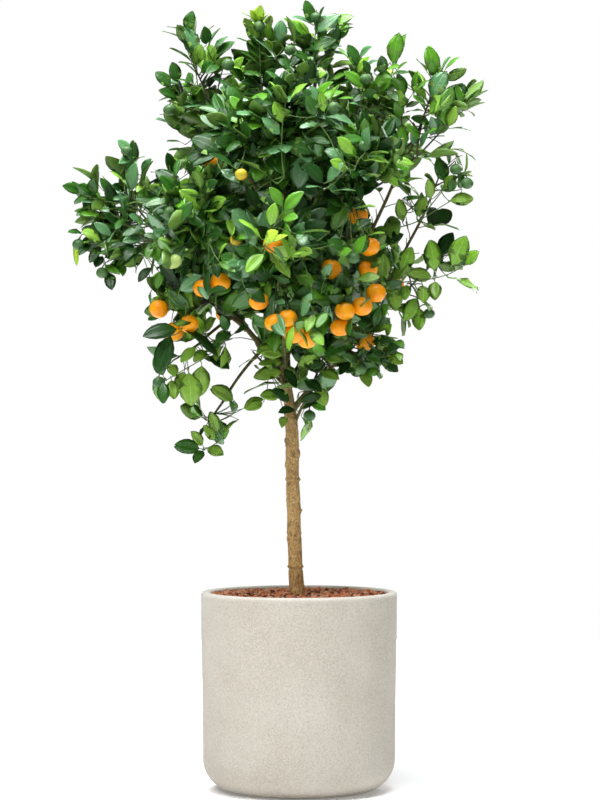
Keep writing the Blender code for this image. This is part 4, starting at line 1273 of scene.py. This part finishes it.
def leavesAlong(growth, limb, first, step, tint, chance, size):
    count = max(1, int(pathLength(limb.points) * (1 - first) / step))
    turn = chance.uniform(0, fullTurn)
    for i in range(count):
        share = first + (1 - first) * (i + chance.uniform(0.2, 0.8)) / count
        root, way = limb.at(share)
        slant = math.radians(chance.uniform(30, 64))
        reach = leafShape["length"] * size * chance.uniform(0.62, 1.20)
        own = chance.choice(nearTints[tint]) if chance.random() < 0.35 else tint
        growth.addLeaf(root, way, turn + i * goldenTurn, slant, reach, own, chance)
    root, way = limb.at(1.0)
    for i in range(2):
        growth.addLeaf(root, way, turn + i * 2.4, math.radians(chance.uniform(8, 30)),
                       leafShape["length"] * size * chance.uniform(0.8, 1.15), tint, chance)


def addTwig(growth, root, tip, bow, reach, radii, chance):
    twig = Limb(wandering(root, root.lerp(tip, 0.5) + bow, tip, 3, chance, reach * 0.02), radii)
    growth.green.append((twig.points, twig.radii))
    return twig


def growSpurs(growth, name, limb, chance):
    # short leafy spurs along the outer part of a bough
    first = masses[name]["spurs"]
    count = int(pathLength(limb.points) * (0.98 - first) / foliage["spurStep"])
    for i in range(count):
        root, way = limb.at(first + (0.98 - first) * (i + chance.random()) / count)
        aside = asideOf(way, i * goldenTurn)
        reach = chance.uniform(*foliage["spurLength"])
        tip = root + (way * 0.45 + aside * 0.85 + up * 0.2).normalized() * reach
        twig = addTwig(growth, root, tip, way * reach * 0.12, reach, [0.0012, 0.0010, 0.0009, 0.0008], chance)
        leavesAlong(growth, twig, 0.30, 0.010, sprayTint(tip, chance, masses[name]["light"]), chance, 0.96)


def growShoot(growth, name, stem, target, chance, exactTip=None):
    # a shoot, its side twigs and their leaves
    if seenOpen(target) or exactTip and seenOpen(exactTip):
        return
    start, bend, end = shootPoints(stem, target)
    length = (end - start).length
    shoot = Limb(wandering(start, bend, end, 6, chance, length * 0.012),
                 tapered(twigShape["shootRadius"], twigShape["shootTipRadius"], 6))
    growth.woody.append((shoot.points, shoot.radii))
    growth.carriers[name] += shoot.points
    mass = masses[name]
    tint = sprayTint(end, chance, mass["light"])
    if exactTip and not any(math.hypot(exactTip.x - key.x, exactTip.z - key.z) < keyShape["tipClear"]
                            for key in keyMiddles):
        along = (exactTip - end).normalized()
        side = (up * 0.6 + Vector((0, -0.8, 0)) + along * 0.1).cross(along).normalized()
        growth.setLeaf(end, along, side, (exactTip - end).length, chance.uniform(0.8, 1.0), tint,
                       chance.choice((0, 2, 4)))
    leavesAlong(growth, shoot, 0.34, foliage["leafStep"] * mass["gap"], tint, chance, 1.0)
    turn = chance.uniform(0, fullTurn)
    for i, share in enumerate(foliage["sideTwigs"][-mass["side"]:]):
        if length * (1 - share * 0.5) < 0.045:
            continue
        root, way = shoot.at(share)
        heading = (way * 0.75 + asideOf(way, turn + i * goldenTurn) * 0.75 + up * 0.18).normalized()
        reach = chance.uniform(*foliage["sideLength"])
        tip = root + heading * reach
        if not inSpace(name, tip, -0.012) or not insideHalf(mass, tip, 1.12):
            reach *= 0.5
            tip = root + heading * reach
        if seenOpen(tip):
            continue
        twig = addTwig(growth, root, tip, way * reach * 0.10, reach, [0.0010, 0.0009, 0.0008, 0.0007], chance)
        growth.carriers[name] += twig.points
        leavesAlong(growth, twig, 0.25, foliage["twigStep"] * mass["gap"], sprayTint(tip, chance, mass["light"]),
                    chance, 0.96)


def nearestTo(place, carriers):
    return min(carriers, key=lambda carrier: (carrier - place).length_squared)


def growKeySprays(growth, name, stemPoints):
    # each twig and leaf starts from the nearest wood of its own mass
    for owner, depth, twigs, leaves in keySprays:
        if owner != name:
            continue
        if not growth.carriers[name]:
            growth.carriers[name] += stemPoints
        chance = random.Random(f"{name} {depth} keys")
        for twig in twigs:
            places = [seenAt(x, z, depth / 1000) for x, z in inGroups(twig, 2)]
            places.insert(0, nearestTo(places[0], growth.carriers[name]))
            fine = [a.lerp(b, i / 4) for a, b in zip(places, places[1:]) for i in range(4)] + [places[-1]]
            fine = smoothed(fine, 3)
            thick, kept = (0.0030, growth.woody) if name == "far_right" else (0.0015, growth.green)
            kept.append((fine, tapered(thick, 0.0009, len(fine) - 1)))
            growth.carriers[name] += fine
        # a spray that stands free has more leaves behind the ones that are seen
        layers = keyShape["layers"] if masses[name]["few"] else (0.0,)
        for look, values in leaves.items():
            for row in inGroups(values, 4):
                for layer in layers:
                    growKeyLeaf(growth, name, depth / 1000 + layer, row, look, chance)


def seenWide(seen, length):
    # a leaf that leans far towards the camera isn't drawn wider than it is
    return min(1.0, 0.80 + 0.20 * seen / length)


def growKeyLeaf(growth, name, depth, row, look, chance):
    away = chance.uniform(-keyShape["spread"], keyShape["spread"])
    root = seenAt(row[0], row[1], depth + away)
    tip = seenAt(row[2], row[3], depth + away)
    seen = (tip - root).length
    length = min(keyShape["longest"], max(keyShape["shortest"], seen * 1.06))
    tip.y -= min(keyShape["lean"], math.sqrt(max(0.0, length ** 2 - seen ** 2)))
    along = (tip - root).normalized()
    # the blade turns about its own length: a little, or far round where it is seen from its edge
    face = Vector((0, -1.0, 0.35))
    face -= along * face.dot(along)
    angle = chance.uniform(0.95, 1.25) if look.endswith("tilted") else chance.uniform(-0.45, 0.45)
    face = max((Matrix.Rotation(turn, 3, along) @ face for turn in (angle, -angle)), key=lambda way: way.z)
    foot = nearestTo(root, growth.carriers[name])
    if (foot - root).length > 0.004:
        bend = foot.lerp(root, 0.5) - along * (foot - root).length * 0.18
        growth.green.append((curve(foot, bend, root, 4), [0.0010, 0.0009, 0.0009, 0.0008, 0.0008]))
    growth.setLeaf(root, along, face.cross(along).normalized(), (tip - root).length,
                   chance.uniform(0.92, 1.14) * seenWide(seen, length), look.split()[0],
                   chance.choice((0, 1, 2, 3)))


def growFruit(growth, name, stem, centre, radius):
    # a stalk from the stem to the top of the fruit
    start, bend, end = shootPoints(stem, centre + up * radius * 0.86)
    chance = random.Random(f"{name} stalk {centre.x:.3f}")
    points = wandering(start, bend + up * 0.01, end, 6, chance, 0.001)
    points[-2] = points[-1] + up * 0.006 + (points[-2] - points[-1]) * 0.35
    radii = [0.0016, 0.0015, 0.0014, 0.0013, 0.0012, 0.0011, 0.0013]
    growth.woody.append((points, radii))
    return Limb(points, radii)


def growCrown(limbs):
    growth = Growth()
    for name, mass in masses.items():
        stem = stemOf(name, limbs[name])
        smooth = [stem.at(i / 8)[0] for i in range(9)]
        growth.woody.append((smooth, [twigShape["stemRadius"] * (1 - 0.05 * i) for i in range(9)]))
        chance = random.Random(name + " leaves")
        # the same shoots as the solids have, from the same seed, and more of them
        targets = reachTargets(name, mass["shoots"], random.Random(name + " shoots"), 0.85, 1.0)
        count = round(mass["extra"] * foliage["moreShoots"])
        if count:
            targets += reachTargets(name, count, random.Random(name + " extra"), 0.55, 1.08)
        for owner, kind, place in fruitHung:
            if owner == name:
                stalk = growFruit(growth, name, stem, place, fruitRadius(kind))
                leavesAlong(growth, stalk, 0.45, 0.02, sprayTint(place, chance), chance, 0.95)
        if mass["few"]:
            targets = targets[:2]
        else:
            for end in map(Vector, mass["ends"]):
                target = end + (mass["centre"] - end).normalized() * leafShape["length"]
                growShoot(growth, name, stem, target, chance, end)
        for target in targets:
            growShoot(growth, name, stem, target, chance)
        # painted shade: the leaves along the stem, deep inside the mass, all take the dark tint
        leavesAlong(growth, stem, 0.55, 0.02, "dark", chance, 1.0)
        growSpurs(growth, name, limbs[name], chance)
        growKeySprays(growth, name, smooth)
    print(f"{sum(len(rows) for rows in growth.leaves.values())} leaves grown")
    return growth


foliageNodes = ["foliage_" + name for name in masses]
twigTones = {"woody": (0.055, 0.060, 0.022), "green": (0.085, 0.165, 0.030), "calyx": (0.11, 0.17, 0.04)}


def buildFoliage(limbs, tubes, hang):
    growth = growCrown(limbs)
    kinds = shapeCollection("leafKinds", [leafMesh(f"leafKind{i}", *kind)
                                          for i, kind in enumerate(leafShape["kinds"])])
    for name, tint in tints.items():
        under = leafLook["youngUnderside" if name == "young" else "underside"]
        points = pointsObject(f"leaves_{name}_points", growth.leaves[name])
        leaves = treePiece(points, hang, "leaves_" + name, Shapes=kinds,
                           Material=leafPaint("leaf_" + name, tint["tone"], tint["shine"], under))
        finishPiece(leaves, "foliage", *foliageNodes)
    dropCollection(kinds)

    woody = treePiece(linesObject("twig_lines", growth.woody), tubes, "twigs_woody", Sides=6,
                      Material=twigPaint("twigBrown", twigTones["woody"]))
    finishPiece(woody, "bark", *foliageNodes)
    green = treePiece(linesObject("green_lines", growth.green), tubes, "twigs_green", Sides=5,
                      Material=twigPaint("twigGreen", twigTones["green"], 0.45))
    finishPiece(green, "foliage", *foliageNodes)
    print("foliage ready")


peels = {
    "ripe": ((0.80, 0.262, 0.001), (0.86, 0.355, 0.002)),
    "green": ((0.050, 0.125, 0.040), (0.085, 0.175, 0.050)),
    "pale": ((0.34, 0.47, 0.12), (0.42, 0.53, 0.16)),
    "turning": ((0.38, 0.40, 0.030), (0.75, 0.42, 0.020)),
}


def buildFruit(hang):
    shapes = shapeCollection("fruitKinds", [fruitMesh(f"fruit{i}", *kind)
                                            for i, kind in enumerate(fruitShape["kinds"])])
    cap = shapeCollection("calyxKinds", [calyxMesh()])
    calyxes = []
    chance = random.Random("fruit")
    for kind, tones in peels.items():
        rows = []
        for place in [place for _, ripeness, place in fruitHung if ripeness == kind]:
            radius = fruitRadius(kind) * chance.uniform(0.95, 1.06)
            turned = Euler((chance.uniform(-0.35, 0.35), chance.uniform(-0.35, 0.35), chance.uniform(0, 6.28)))
            size = Vector((radius, radius, radius))
            if kind == "pale":
                # a longer one, seen from its side
                turned = Euler((0.2, 1.35, 0.3))
                size = Vector((radius * 0.85, radius * 0.85, radius * 1.35))
            rows.append((place, turned.to_matrix(), size, chance.randrange(3)))
        calyxes += [(place, turned, size, 0) for place, turned, size, _ in rows]
        fruit = treePiece(pointsObject(f"fruit_{kind}_points", rows), hang, "fruit_" + kind, Shapes=shapes,
                          Material=peelPaint("peel_" + kind, *tones))
        finishPiece(fruit, "foliage", *foliageNodes)
    caps = treePiece(pointsObject("calyx_points", calyxes), hang, "fruit_calyxes", Shapes=cap,
                     Material=twigPaint("calyxGreen", twigTones["calyx"]))
    finishPiece(caps, "foliage", *foliageNodes)
    dropCollection(shapes)
    dropCollection(cap)
    print("fruit ready")


# trunk and boughs

barkShape = {
    "relief": 0.0011, "reliefScale": 110.0,
    "boughRelief": 0.0008, "boughReliefScale": 130.0,
    # how much the collar of a bough swells, and over which length
    "collar": 0.55, "collarLength": 0.012,
    # height above the soil, turn from the front, half height, half width, how far it stands out
    "bumps": ((0.006, 20, 0.004, 0.0040, 0.0032), (0.022, -22, 0.004, 0.0038, 0.0035),
              (0.125, -12, 0.006, 0.0035, 0.0038), (0.125, -62, 0.007, 0.0060, 0.0032),
              (0.180, 75, 0.004, 0.0030, 0.0049), (0.200, -58, 0.004, 0.0030, 0.0035),
              (0.268, -75, 0.006, 0.0050, 0.0032), (0.290, 78, 0.008, 0.0060, 0.0035),
              (0.316, -84, 0.005, 0.0045, 0.0038), (0.355, 4, 0.006, 0.0060, 0.0023),
              (0.150, 170, 0.006, 0.0050, 0.0038), (0.240, 130, 0.006, 0.0050, 0.0035),
              (0.060, -150, 0.006, 0.0050, 0.0035), (0.330, 160, 0.006, 0.0050, 0.0038)),
    # height of each ring scar and how far it stands out
    "scars": ((0.071, 0.0021), (0.137, 0.0010), (0.190, 0.0005), (0.240, 0.0019), (0.305, 0.0009),
              (0.355, 0.0008)),
}


def finePath(limb, step, wander, seed):
    # the limb's own way, in short steps, with a little wander
    count = max(6, int(pathLength(limb.points) / step))
    points, radii = [], []
    for i in range(count + 1):
        share = i / count
        place, _ = limb.at(share)
        shift = noise.noise_vector(place * 14 + Vector((seed, 0, 0))) * wander
        ends = min(1.0, share * 12) * min(1.0, (1 - share) * 12)
        points.append(place + Vector((shift.x, shift.y, 0)) * ends)
        radii.append(limb.radiusAt(share))
    return points, radii


def addKnots(mesh, limb):
    # knots, ring scars and a cut top, pushed out of the bark
    base = trunkShape["soilTop"]
    for vertex in mesh.vertices:
        share = min(1.0, max(0.0, (vertex.co.z - base) / trunkShape["height"]))
        middle, _ = limb.at(share)
        out = Vector((vertex.co.x - middle.x, vertex.co.y - middle.y, 0))
        radius = out.length
        if radius < 0.002:
            continue
        way = out / radius
        turn = math.degrees(math.atan2(way.x, -way.y))
        push = 0.0
        for height, at, tall, wide, rise in barkShape["bumps"]:
            apart = math.radians((turn - at + 180) % 360 - 180) * radius
            rim = ((vertex.co.z - base - height) / tall) ** 2 + (apart / wide) ** 2
            push += rise * math.exp(-rim) - rise * 0.35 * math.exp(-rim * 9)
        for height, rise in barkShape["scars"]:
            wobble = 0.0035 * noise.noise(Vector((way.x * 1.4, way.y * 1.4, height * 40)))
            gap = (vertex.co.z - base - height - wobble) / 0.0028
            push += rise * math.exp(-gap * gap) - rise * 0.7 * math.exp(-((gap + 1.6) ** 2) * 2)
        push += 0.0009 * noise.noise(Vector((way.x * 1.2, way.y * 1.2, vertex.co.z * 22)))
        vertex.co += way * push


def buildWood(limbs, tubes):
    points, radii = finePath(limbs["trunk"], trunkShape["ringStep"], 0.0016, 3.0)
    radii = [r.x for r in smoothed([Vector((r, 0, 0)) for r in radii], 8)]
    trunk = treePiece(linesObject("trunk_line", [(smoothed(points, 6), radii)]), tubes, "trunk_bark",
                      Sides=trunkShape["sides"], Relief=barkShape["relief"], ReliefScale=barkShape["reliefScale"],
                      Material=barkPaint("bark"))
    addKnots(trunk.data, limbs["trunk"])
    finishPiece(trunk, "bark", "trunk")

    lines = []
    for i, name in enumerate(masses):
        points, radii = finePath(limbs[name], boughShape["ringStep"], 0.004, 7.0 * i)
        points = smoothed(points, 5)
        length = pathLength(points)
        # the collar where a bough leaves its parent
        away = [j / (len(radii) - 1) * length for j in range(len(radii))]
        radii = [r * (1 + barkShape["collar"] * math.exp(-a / barkShape["collarLength"]))
                 for r, a in zip(radii, away)]
        lines.append((points, radii))
    boughs = treePiece(linesObject("bough_lines", lines), tubes, "bough_bark", Sides=boughShape["sides"],
                       Relief=barkShape["boughRelief"], ReliefScale=barkShape["boughReliefScale"],
                       Material=barkPaint("boughBark", barkLook["boughShade"], barkLook["boughGreen"]))
    finishPiece(boughs, "bark", *["bough_" + name for name in masses])
    print("wood ready")


# pot, soil and mulch

potShape = {
    "height": 0.384, "rimRadius": 0.190, "footRadius": 0.186, "corner": 0.062, "wall": 0.018,
    "rimRound": 0.005, "steps": 160, "wallRows": 24,
}


def arc(centre, radius, start, end, steps):
    turns = [math.radians(turn) for turn in tapered(start, end, steps)]
    return [(centre[0] + radius * math.cos(turn), centre[1] + radius * math.sin(turn)) for turn in turns]


def turnedPiece(name, profile, steps, material):
    work = bmesh.new()
    line = [work.verts.new((radius, 0, height)) for radius, height in profile]
    for a, b in zip(line, line[1:]):
        work.edges.new((a, b))
    bmesh.ops.spin(work, geom=work.verts[:] + work.edges[:], axis=(0, 0, 1), cent=(0, 0, 0),
                   dvec=(0, 0, 0), angle=fullTurn, steps=steps, use_merge=True, use_duplicate=False)
    bmesh.ops.remove_doubles(work, verts=work.verts, dist=0.00001)
    bmesh.ops.recalc_face_normals(work, faces=work.faces)
    mesh = meshFrom(work, name)
    mesh.materials.append(material)
    return newObject(name, mesh)


def buildPot():
    corner, round, wide = (potShape[key] for key in ("corner", "rimRound", "rimRadius"))
    rim = potShape["height"] - round
    inner = wide - potShape["wall"]
    foot = potShape["footRadius"] - corner
    profile = [(0, 0), (foot * 0.5, 0), (foot, 0)]
    profile += arc((foot, corner), corner, -90, 0, 18)[1:]
    for i in range(1, potShape["wallRows"] + 1):
        share = i / potShape["wallRows"]
        profile.append((potShape["footRadius"] + (wide - potShape["footRadius"]) * share,
                        corner + (rim - corner) * share))
    profile += arc((wide - round, rim), round, 0, 90, 6)[1:] + arc((inner + round, rim), round, 90, 180, 6)
    profile += [(inner, rim - 0.02), (inner, rim - 0.045), (inner - 0.004, rim - 0.047), (0, rim - 0.047)]
    pot = turnedPiece("pot_shell", profile, potShape["steps"], potPaint())
    for vertex in pot.data.vertices:
        # a cast wall is never quite true
        if vertex.co.z > 0.02 and math.hypot(vertex.co.x, vertex.co.y) > 0.1:
            away = Vector((vertex.co.x, vertex.co.y, 0)).normalized()
            vertex.co += away * 0.0007 * noise.noise(vertex.co * 9)
    finishPiece(pot, "pot", "pot")
    print("pot ready")


mulchShape = {
    "level": 0.3752, "holeRadius": 0.016, "reach": 0.1705, "density": 21000.0,
    "chip": (0.0165, 0.0090, 0.0050), "ragged": 0.0017, "smallest": 0.55, "largest": 1.5, "highest": 0.3828,
    "bedTone": (0.060, 0.018, 0.010), "soilTone": (0.030, 0.018, 0.012),
    # tone, seed and share of each layer of chips
    "layers": {"mulch_rust": ((0.86, 0.235, 0.105), 5, 0.48), "mulch_brown": ((0.150, 0.042, 0.024), 17, 0.20),
               "mulch_pale": ((0.98, 0.42, 0.225), 29, 0.32)},
}


def chipMesh(seed):
    # a splintered sliver of bark
    chance = random.Random(f"chip {seed}")
    work = bmesh.new()
    bmesh.ops.create_cube(work, size=1.0)
    long = [e for e in work.edges if abs(e.verts[0].co.x - e.verts[1].co.x) > 0.5]
    bmesh.ops.subdivide_edges(work, edges=long, cuts=1)
    for vertex in work.verts:
        end = 0.55 if abs(vertex.co.x) > 0.4 else 1.0
        vertex.co = Vector([c * size * share for c, size, share in zip(vertex.co, mulchShape["chip"], (1, end, end))])
        vertex.co += Vector([chance.uniform(-mulchShape["ragged"], mulchShape["ragged"]) for _ in range(3)])
    return meshFrom(work, f"chip{seed}", False)


def buildMulch(strew):
    hole, reach, level = (mulchShape[key] for key in ("holeRadius", "reach", "level"))
    profile = [(hole, level - 0.006)] + [(hole + (reach - hole) * i / 14, level - 0.003) for i in range(15)]
    bed = turnedPiece("mulch_bed", profile + [(reach, level - 0.012)], 72,
                      chipPaint("mulchDark", mulchShape["bedTone"]))
    for vertex in bed.data.vertices:
        vertex.co.z += 0.0022 * noise.noise(vertex.co * 70)
    bed.data.update()
    shapes = shapeCollection("chipKinds", [chipMesh(i) for i in range(4)])
    for name, (tone, seed, share) in mulchShape["layers"].items():
        piece = treePiece(newObject(name + "_base", bed.data.copy()), strew, name, Shapes=shapes,
                          Density=mulchShape["density"] * share, Smallest=mulchShape["smallest"],
                          Largest=mulchShape["largest"], Seed=seed, Material=chipPaint(name, tone))
        for vertex in piece.data.vertices:
            away = math.hypot(vertex.co.x, vertex.co.y)
            if away > reach:
                vertex.co.x *= reach / away
                vertex.co.y *= reach / away
            vertex.co.z = min(vertex.co.z, mulchShape["highest"])
        finishPiece(piece, "mulch", "mulch")
    dropCollection(shapes)
    finishPiece(bed, "mulch", "mulch")
    soil = chipPaint("soilDark", mulchShape["soilTone"])
    for slot in frame["nodes"]["soil"].material_slots:
        slot.material = soil
    print("mulch ready")


buildStudio()
limbs = {"trunk": trunkLimb()}
for massName, massRow in masses.items():
    limbs[massName] = boughLimb(massName, massRow, limbs[massRow["parent"]])
hanger, tuber = hangTree(), tubeTree()
buildFoliage(limbs, tuber, hanger)
buildFruit(hanger)
buildWood(limbs, tuber)
buildPot()
buildMulch(strewTree())

# nothing of the makers' shapes stays in the file
for leftover in [mesh for mesh in bpy.data.meshes if not mesh.users]:
    bpy.data.meshes.remove(leftover)
